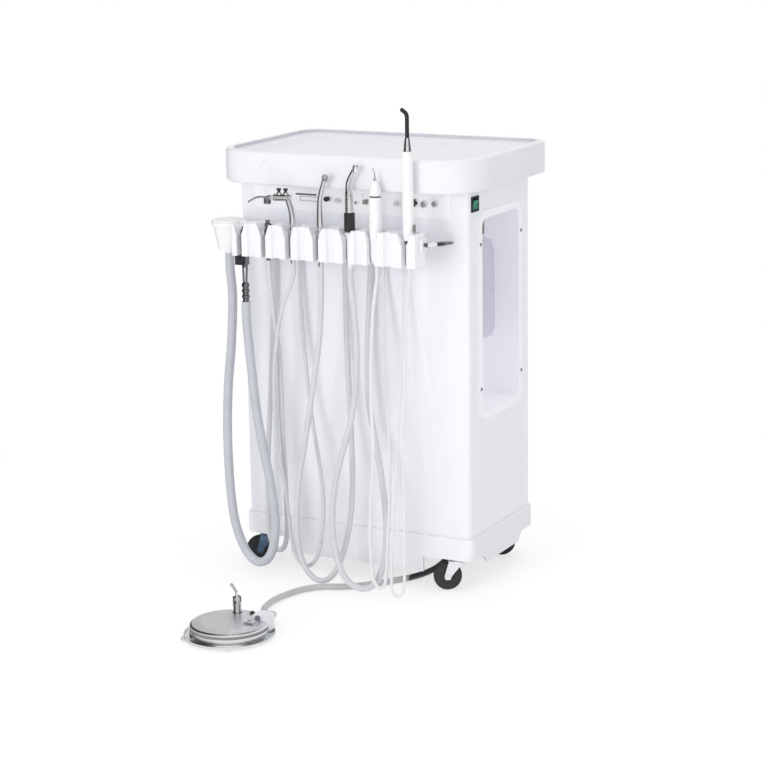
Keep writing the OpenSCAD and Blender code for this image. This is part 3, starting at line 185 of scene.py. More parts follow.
class Graph:
    """Nodes of one material or of the surroundings, built up by finishes."""

    def __init__(self, name: str, owner: bpy.types.World | None = None) -> None:
        """Start on a new material, or on the surroundings.

        Args:
            name: Name of the material.
            owner: The surroundings, where the nodes are theirs.
        """
        self.material = owner or bpy.data.materials.new(name)
        self.material.use_nodes = True
        self.tree = self.material.node_tree
        self.shader = self.tree.nodes["Background" if owner else "Principled BSDF"]
        self._coordinate = "Generated" if owner else "Object"
        self._position: bpy.types.NodeSocket | None = None

    def node(
        self,
        kind: str,
        settings: Mapping[str, object] | None = None,
        values: Mapping[str | int, object] | None = None,
    ) -> bpy.types.Node:
        """Add a node, set it up and feed it.

        Args:
            kind: Blender's type name of the node.
            settings: Properties of the node, set before its sockets.
            values: Input sockets by name or number, each a number, a colour, a field or a socket.

        Returns:
            The new node.
        """
        made = self.tree.nodes.new(kind)
        for key, value in (settings or {}).items():
            if key == "stops":
                for element, (place, tone) in zip(self._elements(made, len(value)), value):
                    element.position = place
                    element.color = (*tone, 1.0)
            else:
                setattr(made, key, value)
        for key, value in (values or {}).items():
            self.feed(made.inputs[key], value)
        return made

    @staticmethod
    def _elements(ramp: bpy.types.Node, count: int) -> list[bpy.types.ColorRampElement]:
        """The colour ramp's elements, made up to count."""
        elements = ramp.color_ramp.elements
        while len(elements) < count:
            elements.new(0.5)
        return list(elements)

    def feed(self, target: bpy.types.NodeSocket, value: object) -> None:
        """Link or set one input socket.

        Args:
            target: The input socket.
            value: A number, a colour, a field or an output socket.
        """
        if isinstance(value, Field):
            self.tree.links.new(value.socket, target)
        elif isinstance(value, bpy.types.NodeSocket):
            self.tree.links.new(value, target)
        elif isinstance(value, tuple) and target.type == "RGBA":
            target.default_value = (*value, 1.0)
        else:
            target.default_value = value

    def position(self) -> bpy.types.NodeSocket:
        """The place on the piece at rest, in the frame's metres."""
        if self._position is None:
            self._position = self.node("ShaderNodeTexCoord").outputs[self._coordinate]
        return self._position

    def axis(self, letter: str) -> Field:
        """One coordinate of the place on the piece, in metres."""
        split = self.node("ShaderNodeSeparateXYZ", None, {0: self.position()})
        return Field(self, split.outputs[letter])

    def stretched(self, scale: Point) -> bpy.types.NodeSocket:
        """The place on the piece with each coordinate scaled, for streaks and grain."""
        mapping = self.node("ShaderNodeMapping", None, {"Vector": self.position(), "Scale": scale})
        return mapping.outputs[0]

    def noise(self, scale: float, detail: float = 3.0, place: bpy.types.NodeSocket | None = None) -> Field:
        """Noise from 0 to 1.

        Args:
            scale: Waves in each metre.
            detail: Number of finer octaves.
            place: Coordinates to use in place of the position.

        Returns:
            The noise's factor.
        """
        made = self.node(
            "ShaderNodeTexNoise",
            {"noise_dimensions": "3D"},
            {"Vector": place or self.position(), "Scale": scale, "Detail": detail, "Roughness": 0.55},
        )
        return Field(self, made.outputs["Fac"])

    def uneven(self, middle: float, scale: float, swing: float) -> Field:
        """A value that wanders about its middle, by half the swing to either side."""
        return middle + (self.noise(scale, 3.0) - 0.5) * swing

    def blend(self, mask: Field | float, low: object, high: object) -> bpy.types.NodeSocket:
        """Mix two colours by a mask.

        Args:
            mask: 0 gives low and 1 gives high.
            low: Colour or colour socket.
            high: Colour or colour socket.

        Returns:
            The mixed colour's socket.
        """
        made = self.node("ShaderNodeMix", {"data_type": "RGBA"}, {"Factor": mask})
        self.feed(made.inputs[6], low)
        self.feed(made.inputs[7], high)
        return made.outputs[2]

    def bump(self, height: Field, distance: float) -> bpy.types.NodeSocket:
        """Normals of a height field.

        Args:
            height: Height from 0 to 1.
            distance: Height of 1, in metres.

        Returns:
            The normal's socket.
        """
        made = self.node("ShaderNodeBump", None, {"Height": height, "Distance": distance, "Strength": 1.0})
        return made.outputs["Normal"]

    def finish(self, **sockets: object) -> bpy.types.Material:
        """Feed the Principled shader and return the material.

        Args:
            **sockets: Input names in lower case with underscores, and what goes in them.

        Returns:
            The material.
        """
        for key, value in sockets.items():
            self.feed(self.shader.inputs[key.replace("_", " ").title().replace("Ior", "IOR")], value)
        return self.material


def toned(colour: Colour, factor: float) -> Colour:
    """The colour with each channel times a factor."""
    return tuple(c * factor for c in colour)


# --------------------------------------------------------------------------- finishes


@dataclass(frozen=True)
class Moulding:
    """Glossy moulded plastic with a faint flow mottle and a soft orange peel; glow is painted light, an emission of
    the part's own colour that brightens its shade.
    """

    name: str
    colour: Colour
    roughness: float = 0.28
    coat: float = 0.25
    mottle: float = 0.03
    peel: float = 0.00003
    dust: float = 0.0
    # glow: painted light, an emission that brightens a shaded part though it is no lamp
    glow: float = 0.0

    def material(self) -> bpy.types.Material:
        """Build the material."""
        g = Graph(self.name)
        flow = g.noise(9.0, 4.0)
        fine = g.noise(900.0, 2.0)
        shade = toned(self.colour, 1.0 - self.mottle * 2.2)
        tint = g.blend(flow, shade, self.colour)
        if self.dust:
            settle = g.noise(35.0, 5.0).ramp(0.5, 0.8) * self.dust
            tint = g.blend(settle, tint, (0.62, 0.6, 0.57))
        rough = g.uneven(self.roughness, 60.0, 0.12)
        return g.finish(
            base_color=tint,
            roughness=rough,
            coat_weight=self.coat,
            coat_roughness=0.12,
            # painted light: the glow makes the part emit its own colour
            emission_color=self.colour,
            emission_strength=self.glow,
            normal=g.bump(fine + g.noise(170.0, 2.0), self.peel),
        )


@dataclass(frozen=True)
class Fascia:
    """The control strip: pale moulding with a dark slot, an outlined window and a dark pilot hole; its glow is painted
    light.
    """

    name: str
    colour: Colour
    slot: tuple[float, float, float, float]
    window: tuple[float, float, float, float]
    pip: tuple[float, float, float]
    # glow: painted light, an emission that brightens the strip in the shade under the worktop's overhang
    glow: float = 0.08

    @staticmethod
    def _within(g: Graph, box: tuple[float, float, float, float], grow: float = 0.0) -> Field:
        """1 inside a box of the front, given as its left, right, lower and upper sides."""
        left, right, low, high = box
        edge = 0.0003
        return g.axis("X").band(left - grow, right + grow, edge) * g.axis("Z").band(low - grow, high + grow, edge)

    def material(self) -> bpy.types.Material:
        """Build the material."""
        g = Graph(self.name)
        x, z = g.axis("X") - self.pip[0], g.axis("Z") - self.pip[1]
        pip = 1.0 - (x * x + z * z).root().ramp(self.pip[2] - 0.0004, self.pip[2])
        frame = self._within(g, self.window, 0.0008) * (1.0 - self._within(g, self.window, -0.0008))
        tint = g.blend(g.noise(12.0, 3.0), toned(self.colour, 0.96), self.colour)
        tint = g.blend(self._within(g, self.window), tint, (0.9, 0.91, 0.96))
        tint = g.blend(frame, tint, (0.46, 0.47, 0.52))
        tint = g.blend(self._within(g, self.slot).most(pip), tint, (0.05, 0.05, 0.06))
        return g.finish(
            base_color=tint,
            roughness=g.uneven(0.34, 60.0, 0.12),
            coat_weight=0.2,
            coat_roughness=0.15,
            # painted light: the strip emits its own colour to lift the overhang's shade
            emission_color=self.colour,
            emission_strength=self.glow,
            normal=g.bump(g.noise(900.0, 2.0), 0.00003),
        )


@dataclass(frozen=True)
class PowderCoat:
    """Baked powder coat on folded steel, with its fine pimpled skin."""

    name: str
    colour: Colour
    roughness: float = 0.42
    cool: Colour = (0.85, 0.88, 0.925)

    def material(self) -> bpy.types.Material:
        """Build the material."""
        g = Graph(self.name)
        broad = g.noise(3.5, 2.0)
        tint = g.blend(broad * 0.5, self.colour, self.cool)
        pimples = g.noise(1400.0, 2.0) * 0.6 + g.noise(420.0, 2.0) * 0.4
        low = 1.0 - g.axis("Z").ramp(0.09, 0.2)
        scuff = g.noise(55.0, 6.0, g.stretched((1.0, 1.0, 0.25))).ramp(0.62, 0.82) * (0.05 + low * 0.1)
        tint = g.blend(scuff, tint, (0.55, 0.55, 0.57))
        rough = g.uneven(self.roughness, 20.0, 0.14) + scuff * 0.3
        return g.finish(
            base_color=tint,
            roughness=rough,
            coat_weight=0.12,
            coat_roughness=0.3,
            normal=g.bump(pimples, 0.00005),
        )


@dataclass(frozen=True)
class Plating:
    """Bright plating with faint polishing marks and handling smudges."""

    name: str
    colour: Colour = (0.77, 0.78, 0.8)
    roughness: float = 0.09
    smudge: float = 0.16

    def material(self) -> bpy.types.Material:
        """Build the material."""
        g = Graph(self.name)
        marks = g.noise(260.0, 4.0, g.stretched((1.0, 1.0, 0.12)))
        touch = g.noise(70.0, 4.0).ramp(0.52, 0.78)
        worn = toned(self.colour, 0.82)
        return g.finish(
            base_color=g.blend(touch * 0.6, self.colour, worn),
            metallic=1.0,
            roughness=self.roughness + marks * 0.05 + touch * self.smudge,
            normal=g.bump(marks, 0.000015),
        )


@dataclass(frozen=True)
class Satin:
    """Satin plastic or rubber in one tone with a fine grain."""

    name: str
    colour: Colour
    roughness: float = 0.5
    grain: float = 0.00006
    worn: float = 0.35

    def material(self) -> bpy.types.Material:
        """Build the material."""
        g = Graph(self.name)
        rub = g.noise(150.0, 5.0).ramp(0.55, 0.8) * self.worn
        pale = tuple(min(1.0, c * 1.5 + 0.05) for c in self.colour)
        return g.finish(
            base_color=g.blend(rub, self.colour, pale),
            roughness=g.uneven(self.roughness, 90.0, 0.2),
            normal=g.bump(g.noise(1100.0, 3.0), self.grain),
        )


@dataclass(frozen=True)
class Clear:
    """Clear or frosted resin, shown by its alpha and gloss."""

    name: str
    colour: Colour
    alpha: float = 0.3
    roughness: float = 0.12
    coat: float = 0.6

    def material(self) -> bpy.types.Material:
        """Build the material."""
        g = Graph(self.name)
        haze = g.noise(45.0, 4.0)
        return g.finish(
            base_color=g.blend(haze, self.colour, toned(self.colour, 0.93)),
            roughness=self.roughness + haze * 0.1,
            alpha=self.alpha + haze * 0.12,
            coat_weight=self.coat,
            coat_roughness=0.06,
            normal=g.bump(g.noise(220.0, 2.0), 0.00004),
        )


@dataclass(frozen=True)
class Vinyl:
    """Soft hose vinyl: smooth, a little waxy, with dust and draw lines; from an X on it turns near black, partly a
    dark sheath and partly painted shadow under the cabinet.
    """

    name: str
    colour: Colour
    shade: Colour
    roughness: float = 0.36
    sheath_from: float | None = None

    def material(self) -> bpy.types.Material:
        """Build the material."""
        g = Graph(self.name)
        cloud = g.noise(28.0, 4.0)
        dust = g.noise(160.0, 5.0).ramp(0.58, 0.8) * 0.25
        tint = g.blend(dust, g.blend(cloud, self.shade, self.colour), toned(self.shade, 0.8))
        # from this X on the hose is painted near black: partly a dark sheath, partly painted shadow where it runs
        # under the cabinet
        if self.sheath_from is not None:
            sheathed_and_shaded = g.axis("X").ramp(self.sheath_from, self.sheath_from + 0.0015)
            tint = g.blend(sheathed_and_shaded, tint, (0.035, 0.036, 0.04))
        return g.finish(
            base_color=tint,
            roughness=g.uneven(self.roughness, 80.0, 0.16),
            coat_weight=0.3,
            coat_roughness=0.25,
            subsurface_weight=0.0,
            normal=g.bump(g.noise(500.0, 2.0, g.stretched((1.0, 1.0, 0.05))), 0.00004),
        )


@dataclass(frozen=True)
class Tread:
    """The treadle's brushed plate: painted reflection, darker to the left of a slanting line and paler to the right,
    with rubbed marks in the darker part.
    """

    name: str
    centre: tuple[float, float]
    slant: float
    reach: float
    lean: float

    def material(self) -> bpy.types.Material:
        """Build the material."""
        g = Graph(self.name)
        a = math.radians(self.slant)
        x = g.axis("X") - self.centre[0]
        y = g.axis("Y") - self.centre[1]
        across = x * math.cos(a) + y * math.sin(a)
        back = y * math.cos(a) - x * math.sin(a)
        # painted reflection: this mask splits the plate into a darker left and a paler right along a slanting line
        pale = (across + back * self.lean).ramp(self.reach - 0.0015, self.reach + 0.0015)
        skirt = 1.0 - g.axis("Z").ramp(0.0232, 0.0242)
        streak = g.noise(420.0, 4.0, g.stretched((0.06, 1.0, 1.0)))
        rub = g.noise(60.0, 5.0).ramp(0.45, 0.8)
        left = g.blend(streak * 0.6 + rub * 0.3, (0.68, 0.69, 0.68), (0.82, 0.83, 0.82))
        right = g.blend(streak * 0.5, (0.82, 0.83, 0.84), (0.92, 0.93, 0.94))
        top = g.blend(pale, left, right)
        return g.finish(
            base_color=g.blend(skirt, top, (0.86, 0.87, 0.88)),
            metallic=1.0,
            roughness=0.34 + streak * 0.14 - rub * 0.06 - skirt * 0.14,
            normal=g.bump(streak, 0.00004),
        )


@dataclass(frozen=True)
class PedalBody:
    """The foot control's base: turned alloy round its axis, with a pale moulded hose block and its dark socket."""

    name: str
    centre: tuple[float, float]
    block: tuple[float, float, float, float]
    socket: tuple[float, float, float]

    def material(self) -> bpy.types.Material:
        """Build the material."""
        g = Graph(self.name)
        x, y, z = (g.axis(letter) for letter in "XYZ")
        dx, dy = x - self.centre[0], y - self.centre[1]
        radius = (dx * dx + dy * dy).root()
        ring = g.node("ShaderNodeCombineXYZ", None, {"X": radius, "Y": z, "Z": 0.0}).outputs[0]
        grain = g.noise(2600.0, 3.0, ring)
        left, right, front, rear = self.block
        block = x.band(left, right, 0.0002) * y.band(front - 0.0045, rear, 0.0002) * z.ramp(0.0088, 0.0092)
        sx, sz = x - self.socket[0], z - self.socket[1]
        dark = (1.0 - (sx * sx + sz * sz).root().ramp(self.socket[2], self.socket[2] + 0.0003)) * (
            1.0 - y.ramp(front - 0.0003, front + 0.0002)
        ) * block
        metal = g.blend(grain * 0.5 + g.noise(22.0, 3.0) * 0.5, (0.66, 0.67, 0.68), (0.84, 0.85, 0.86))
        tint = g.blend(dark, g.blend(block, metal, (0.8, 0.8, 0.85)), (0.16, 0.16, 0.21))
        return g.finish(
            base_color=tint,
            metallic=1.0 - block,
            roughness=0.2 + grain * 0.12 + block * 0.15,
            normal=g.bump(grain * (1.0 - block), 0.00003),
        )


@dataclass(frozen=True)
class Knurled:
    """A dark grip with fine upright flutes round it."""

    name: str
    centre: tuple[float, float]
    colour: Colour
    flutes: int = 28
    roughness: float = 0.4

    def material(self) -> bpy.types.Material:
        """Build the material."""
        g = Graph(self.name)
        x = g.axis("X") - self.centre[0]
        y = g.axis("Y") - self.centre[1]
        angle = g.node("ShaderNodeMath", {"operation": "ARCTAN2"}, {0: y, 1: x}).outputs[0]
        wave = (Field(g, angle) * float(self.flutes)).sine() * 0.5 + 0.5
        pale = tuple(c * 2.2 + 0.02 for c in self.colour)
        return g.finish(
            base_color=g.blend(wave * g.noise(200.0, 3.0), self.colour, pale),
            roughness=g.uneven(self.roughness, 90.0, 0.2),
            normal=g.bump(wave, 0.0001),
        )


@dataclass(frozen=True)
class Banded:
    """A body in one tone with rings of another between given heights."""

    name: str
    colour: Colour
    ring: Colour
    rings: tuple[tuple[float, float], ...]
    roughness: float = 0.3
    metal_above: float | None = None

    def material(self) -> bpy.types.Material:
        """Build the material."""
        g = Graph(self.name)
        height = g.axis("Z")
        mask: Field | float = 0.0
        for low, high in self.rings:
            mask = height.band(low, high, 0.0004) + mask
        flow = g.noise(30.0, 3.0)
        body = g.blend(flow, toned(self.colour, 0.95), self.colour)
        metal: Field | float = 0.0
        if self.metal_above is not None:
            metal = height.ramp(self.metal_above, self.metal_above + 0.0006)
            body = g.blend(metal, body, (0.86, 0.87, 0.88))
        return g.finish(
            base_color=g.blend(mask, body, self.ring),
            roughness=g.uneven(self.roughness, 120.0, 0.1) - metal * 0.24,
            metallic=metal,
            coat_weight=0.3,
            coat_roughness=0.1,
            normal=g.bump(g.noise(700.0, 2.0), 0.00003),
        )


class Palette:
    """Every material of the unit, each built once."""

    def __init__(self) -> None:
        """Build the finishes."""
        self.made: dict[str, bpy.types.Material] = {}
        foot = (-0.042, -0.487)
        for finish in (
            Moulding("WorktopMoulding", (0.9, 0.893, 0.94), roughness=0.3, dust=0.04),
            Moulding("BaseMoulding", (0.93, 0.925, 0.965), roughness=0.34, dust=0.12),
            # the strip's glow is painted light against the shade under the worktop
            Fascia("StripFasciaGlowPainted", (0.92, 0.925, 0.945), (-0.108, -0.067, 0.6812, 0.684),
                   (-0.099, -0.057, 0.6715, 0.6785), (0.012, 0.674, 0.0026)),
            Moulding("HolderMoulding", (0.93, 0.925, 0.965), roughness=0.26, dust=0.04),
            # the pocket's glow is painted light that brightens the shade inside its recess
            Moulding("PocketMouldingGlowPainted", (0.86, 0.855, 0.9), roughness=0.36, glow=0.16),
            Moulding("CupMoulding", (0.94, 0.94, 0.945), roughness=0.22, coat=0.4),
            Moulding("RockerGreen", (0.015, 0.27, 0.15), roughness=0.2, coat=0.6),
            PowderCoat("CabinetCoat", (0.918, 0.92, 0.962)),
            Knurled("CollarGrip", (0.036, -0.189), (0.015, 0.015, 0.017)),
            Plating("BrightChrome", (0.74, 0.75, 0.77)),
            Plating("InstrumentChrome", (0.72, 0.725, 0.735), roughness=0.06, smudge=0.08),
            Plating("SmokedChrome", (0.2, 0.205, 0.22), roughness=0.14, smudge=0.1),
            Plating("DarkChrome", (0.4, 0.405, 0.415), roughness=0.07, smudge=0.08),
            Plating("PaleNickel", (0.88, 0.88, 0.89), roughness=0.22),
            Plating("ZincPlate", (0.86, 0.87, 0.9), roughness=0.34),
            Plating("BlueZinc", (0.3, 0.45, 0.64), roughness=0.24),
            Plating("CastAlloy", (0.5, 0.51, 0.53), roughness=0.45),
            Satin("SatinBlack", (0.018, 0.018, 0.02), roughness=0.42),
            Satin("SatinGrey", (0.24, 0.245, 0.25), roughness=0.45),
            Satin("BellowsGrey", (0.36, 0.36, 0.37), roughness=0.5),
            Satin("KnobGrey", (0.3, 0.28, 0.265), roughness=0.4),
            Satin("KnobPale", (0.66, 0.66, 0.67), roughness=0.4, worn=0.1),
            Satin("TyreRubber", (0.022, 0.025, 0.026), roughness=0.6, grain=0.00015, worn=0.4),
            Satin("HubDark", (0.03, 0.032, 0.034), roughness=0.5),
            Clear("BottleResin", (0.8, 0.8, 0.93), alpha=0.3),
            Clear("JarResin", (0.85, 0.88, 0.9), alpha=0.3),
            Clear("TipResin", (0.93, 0.95, 0.97), alpha=0.05, roughness=0.05, coat=0.15),
            Vinyl("HoseVinyl", (0.71, 0.715, 0.735), (0.61, 0.62, 0.645)),
            Vinyl("SuctionVinyl", (0.6, 0.615, 0.665), (0.5, 0.51, 0.56)),
            # the foot hose's near-black end is partly a dark sheath and partly painted shadow under the cabinet
            Vinyl("FootVinyl", (0.6, 0.6, 0.61), (0.48, 0.48, 0.5), sheath_from=0.096),
            Vinyl("CordVinyl", (0.845, 0.845, 0.865), (0.765, 0.765, 0.79)),
            PedalBody("PedalAlloy", foot, (-0.009, 0.017, -0.466, -0.44), (0.001, 0.0326, 0.0042)),
            # the treadle's darker left and paler right are a painted reflection
            Tread("TreadlePlateReflectionPainted", foot, 27.7, 0.006, -0.06),
            Banded("ScalerShell", (0.94, 0.94, 0.95), (0.05, 0.05, 0.06), ((0.697, 0.699),)),
            Banded("LightShell", (0.94, 0.94, 0.95), (0.09, 0.09, 0.1), ((0.6215, 0.6275),), metal_above=0.7757),
            Banded("MotorShell", (0.86, 0.86, 0.87), (0.3, 0.3, 0.32), ((0.6345, 0.6362),)),
        ):
            self.made[finish.name] = finish.material()

    def __getitem__(self, name: str) -> bpy.types.Material:
        """The material of that name."""
        return self.made[name]

    def dress(self, node: str, name: str) -> bpy.types.Object:
        """Give a CAD node a material in every slot.

        Args:
            node: Name of the node.
            name: Name of the material.

        Returns:
            The node's object.
        """
        obj = next(o for o in bpy.data.objects if o.get("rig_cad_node") == node)
        if not obj.data.materials:
            obj.data.materials.append(self.made[name])
        for slot in obj.material_slots:
            slot.link = "OBJECT"
            slot.material = self.made[name]
        return obj

    def dress_all(self, dressing: Mapping[str, str], softened: Mapping[str, float]) -> None:
        """Dress several CAD nodes and soften the edges of some.

        Args:
            dressing: Material by node.
            softened: Width of the bevel by node, in millimetres.
        """
        for node, finish in dressing.items():
            piece = self.dress(node, finish)
            if node in softened:
                soften(piece, softened[node] * MM)


# --------------------------------------------------------------------------- mesh making


class Workshop:
    """Makes meshes by lathe, sweep and loft, all in metres."""

    @staticmethod
    def publish(
        bm: bmesh.types.BMesh, name: str, material: bpy.types.Material, smooth: float = 40.0
    ) -> bpy.types.Object:
        """Turn a bmesh into an object in the scene.

        Args:
            bm: The finished bmesh, freed here.
            name: Name of the piece.
            material: Its material.
            smooth: Angle in degrees under which an edge is shaded smooth.

        Returns:
            The new object.
        """
        bmesh.ops.recalc_face_normals(bm, faces=bm.faces)
        mesh = bpy.data.meshes.new(name)
        limit = math.radians(smooth)
        for face in bm.faces:
            face.smooth = True
        for edge in bm.edges:
            edge.smooth = len(edge.link_faces) == 2 and edge.calc_face_angle(math.pi) < limit
        bm.to_mesh(mesh)
        bm.free()
        mesh.materials.append(material)
        obj = bpy.data.objects.new(name, mesh)
        bpy.context.scene.collection.objects.link(obj)
        return obj

    @staticmethod
    def skin(bm: bmesh.types.BMesh, rings: Sequence[Sequence[bmesh.types.BMVert]]) -> None:
        """Join neighbouring rings of vertices with quads.

        Args:
            bm: The bmesh that holds the rings.
            rings: Rings of equal length, each closed on itself.
        """
        for low, high in zip(rings, rings[1:]):
            count = len(low)
            for k in range(count):
                n = (k + 1) % count
                bm.faces.new((low[k], low[n], high[n], high[k]))

    @classmethod
    def lathe(
        cls,
        profile: Profile,
        name: str,
        material: bpy.types.Material,
        place: Matrix,
        segments: int,
    ) -> bpy.types.Object:
        """Turn a profile about the local Z axis.

        Args:
            profile: Radius and height pairs, in metres, from one end to the other.
            name: Name of the piece.
            material: Its material.
            place: Where the local axes go in the frame.
            segments: Steps in a full turn.

        Returns:
            The new object.
        """
        bm = bmesh.new()
        rings: list[list[bmesh.types.BMVert]] = []
        for radius, height in profile:
            ring = []
            for k in range(segments):
                a = math.tau * k / segments
                ring.append(bm.verts.new(place @ Vector((radius * math.cos(a), radius * math.sin(a), height))))
            rings.append(ring)
        cls.skin(bm, rings)
        bm.faces.new(rings[0])
        bm.faces.new(list(reversed(rings[-1])))
        return cls.publish(bm, name, material)

    @staticmethod
    def smooth_route(route: Sequence[Point], steps: int) -> list[Vector]:
        """Pass a smooth line through every point of a route.

        Args:
            route: The points, in metres.
            steps: Runs between two neighbouring points.

        Returns:
            Points along the line, ends included.
        """
        points = [Vector(p) for p in route]
        before = [2 * points[0] - points[1], *points, 2 * points[-1] - points[-2]]
        line: list[Vector] = []
        for a, b, c, d in zip(before, before[1:], before[2:], before[3:]):
            for k in range(steps):
                t = k / steps
                line.append(
                    0.5
                    * (2 * b + (c - a) * t + (2 * a - 5 * b + 4 * c - d) * t * t + (3 * b - a - 3 * c + d) * t**3)
                )
        line.append(points[-1])
        return line

    @classmethod
    def tube(
        cls,
        line: Sequence[Vector],
        radius: float,
        name: str,
        material: bpy.types.Material,
        sides: int,
    ) -> bpy.types.Object:
        """Sweep a round section along a line.

        Args:
            line: Centreline points.
            radius: Radius of the tube.
            name: Name of the piece.
            material: Its material.
            sides: Sides of the section.

        Returns:
            The new object.
        """
        bm = bmesh.new()
        last = len(line) - 1
        tangents = [(line[min(i + 1, last)] - line[max(i - 1, 0)]).normalized() for i in range(last + 1)]
        side = tangents[0].orthogonal().normalized()
        rings: list[list[bmesh.types.BMVert]] = []
        for point, tangent in zip(line, tangents):
            side = (side - side.dot(tangent) * tangent).normalized()
            across = tangent.cross(side)
            rings.append(
                [
                    bm.verts.new(point + radius * (math.cos(a) * side + math.sin(a) * across))
                    for a in (math.tau * k / sides for k in range(sides))
                ]
            )
        cls.skin(bm, rings)
        bm.faces.new(rings[0])
        bm.faces.new(list(reversed(rings[-1])))
        return cls.publish(bm, name, material, smooth=60.0)


@dataclass(frozen=True)
class Spindle:
    """A round-sectioned body about an axis that may bend, given in millimetres."""

    name: str
    node: str
    body: str
    finish: str
    slot: str
    axis: tuple[Point, ...]
    girth: tuple[tuple[float, float], ...]
    sides: int = 48

    def _line(self) -> list[Vector]:
        """The axis as a fine line: straight between two points, smooth through more."""
        points = [Vector(p) for p in self.axis]
        return points if len(points) == 2 else Workshop.smooth_route(self.axis, 12)

    @staticmethod
    def _rounded(girth: Profile) -> list[tuple[float, float]]:
        """The girth with each corner cut twice, so that it takes the light like a turned edge."""
        out: list[tuple[float, float]] = [girth[0]]
        for (d0, r0), (d1, r1), (d2, r2) in zip(girth, girth[1:], girth[2:]):
            before, after = math.hypot(d1 - d0, r1 - r0), math.hypot(d2 - d1, r2 - r1)
            for share in (0.35, 0.12):
                cut = min(share, before * 0.45)
                out.append((d1 + (d0 - d1) * cut / before, r1 + (r0 - r1) * cut / before))
            for share in (0.12, 0.35):
                cut = min(share, after * 0.45)
                out.append((d1 + (d2 - d1) * cut / after, r1 + (r2 - r1) * cut / after))
        out.append(girth[-1])
        return out

    def build(self, palette: Palette) -> bpy.types.Object:
        """Skin the body and set it on what it moves with.

        Args:
            palette: The unit's materials.

        Returns:
            The new object.
        """
        line = self._line()
        reach = [0.0]
        for a, b in zip(line, line[1:]):
            reach.append(reach[-1] + (b - a).length)
        rings: list[tuple[float, float]] = []
        for (d0, r0), (d1, r1) in zip(self._rounded(self.girth), self._rounded(self.girth)[1:]):
            runs = max(1, round(abs(d1 - d0) / 1.5)) if len(line) > 2 else 1
            rings += [(d0 + (d1 - d0) * k / runs, r0 + (r1 - r0) * k / runs) for k in range(runs)]
        rings.append(self.girth[-1])
        bm = bmesh.new()
        side = (line[1] - line[0]).orthogonal().normalized()
        made: list[list[bmesh.types.BMVert]] = []
        for distance, radius in rings:
            d = min(max(distance, 0.0), reach[-1])
            i = max(k for k in range(len(reach) - 1) if reach[k] <= d)
            t = (d - reach[i]) / (reach[i + 1] - reach[i])
            centre = line[i].lerp(line[i + 1], t)
            ahead = line[min(i + 2, len(line) - 1)] - line[i + 1] if i + 2 < len(line) else line[i + 1] - line[i]
            tangent = (line[i + 1] - line[i]).normalized().lerp(ahead.normalized(), t * 0.5).normalized()
            side = (side - side.dot(tangent) * tangent).normalized()
            across = tangent.cross(side)
            ring = []
            for k in range(self.sides):
                a = math.tau * k / self.sides
                ring.append(bm.verts.new((centre + radius * (math.cos(a) * side + math.sin(a) * across)) * MM))
            made.append(ring)
        Workshop.skin(bm, made)
        bm.faces.new(made[0])
        bm.faces.new(list(reversed(made[-1])))
        obj = Workshop.publish(bm, self.name, palette[self.finish])
        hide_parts(self.node)
        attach(obj, self.body)
        LOG.info("%s: %d rings", self.name, len(made))
        return obj


def rounded_outline(width: float, depth: float, front: float, rear: float, steps: int) -> list[tuple[float, float]]:
    """Outline of a rectangle with its own radii at the front and the rear.

    Args:
        width: Size along X.
        depth: Size along Y.
        front: Radius of the two front corners.
        rear: Radius of the two rear corners.
        steps: Runs in each corner.

    Returns:
        Points in order round the outline.
    """
    points: list[tuple[float, float]] = []
    for sx, sy, radius, start in ((-1, -1, front, 180), (1, -1, front, 270), (1, 1, rear, 0), (-1, 1, rear, 90)):
        cx, cy = sx * (width / 2 - radius), sy * (depth / 2 - radius)
        for k in range(steps + 1):
            a = math.radians(start + 90 * k / steps)
            points.append((cx + radius * math.cos(a), cy + radius * math.sin(a)))
    return points


def soften(obj: bpy.types.Object, width: float) -> None:
    """Round the edges sharper than SOFTENED_ANGLE with a bevel.

    Args:
        obj: The object.
        width: Width of the bevel, in metres.
    """
    weld = obj.modifiers.new("Weld", "WELD")
    weld.merge_threshold = WELD_GAP
    bevel = obj.modifiers.new("Soften", "BEVEL")
    bevel.width = width
    bevel.segments = 3
    bevel.limit_method = "ANGLE"
    bevel.angle_limit = math.radians(SOFTENED_ANGLE)
    bevel.harden_normals = True
    bevel.use_clamp_overlap = True


# --------------------------------------------------------------------------- sub-assemblies


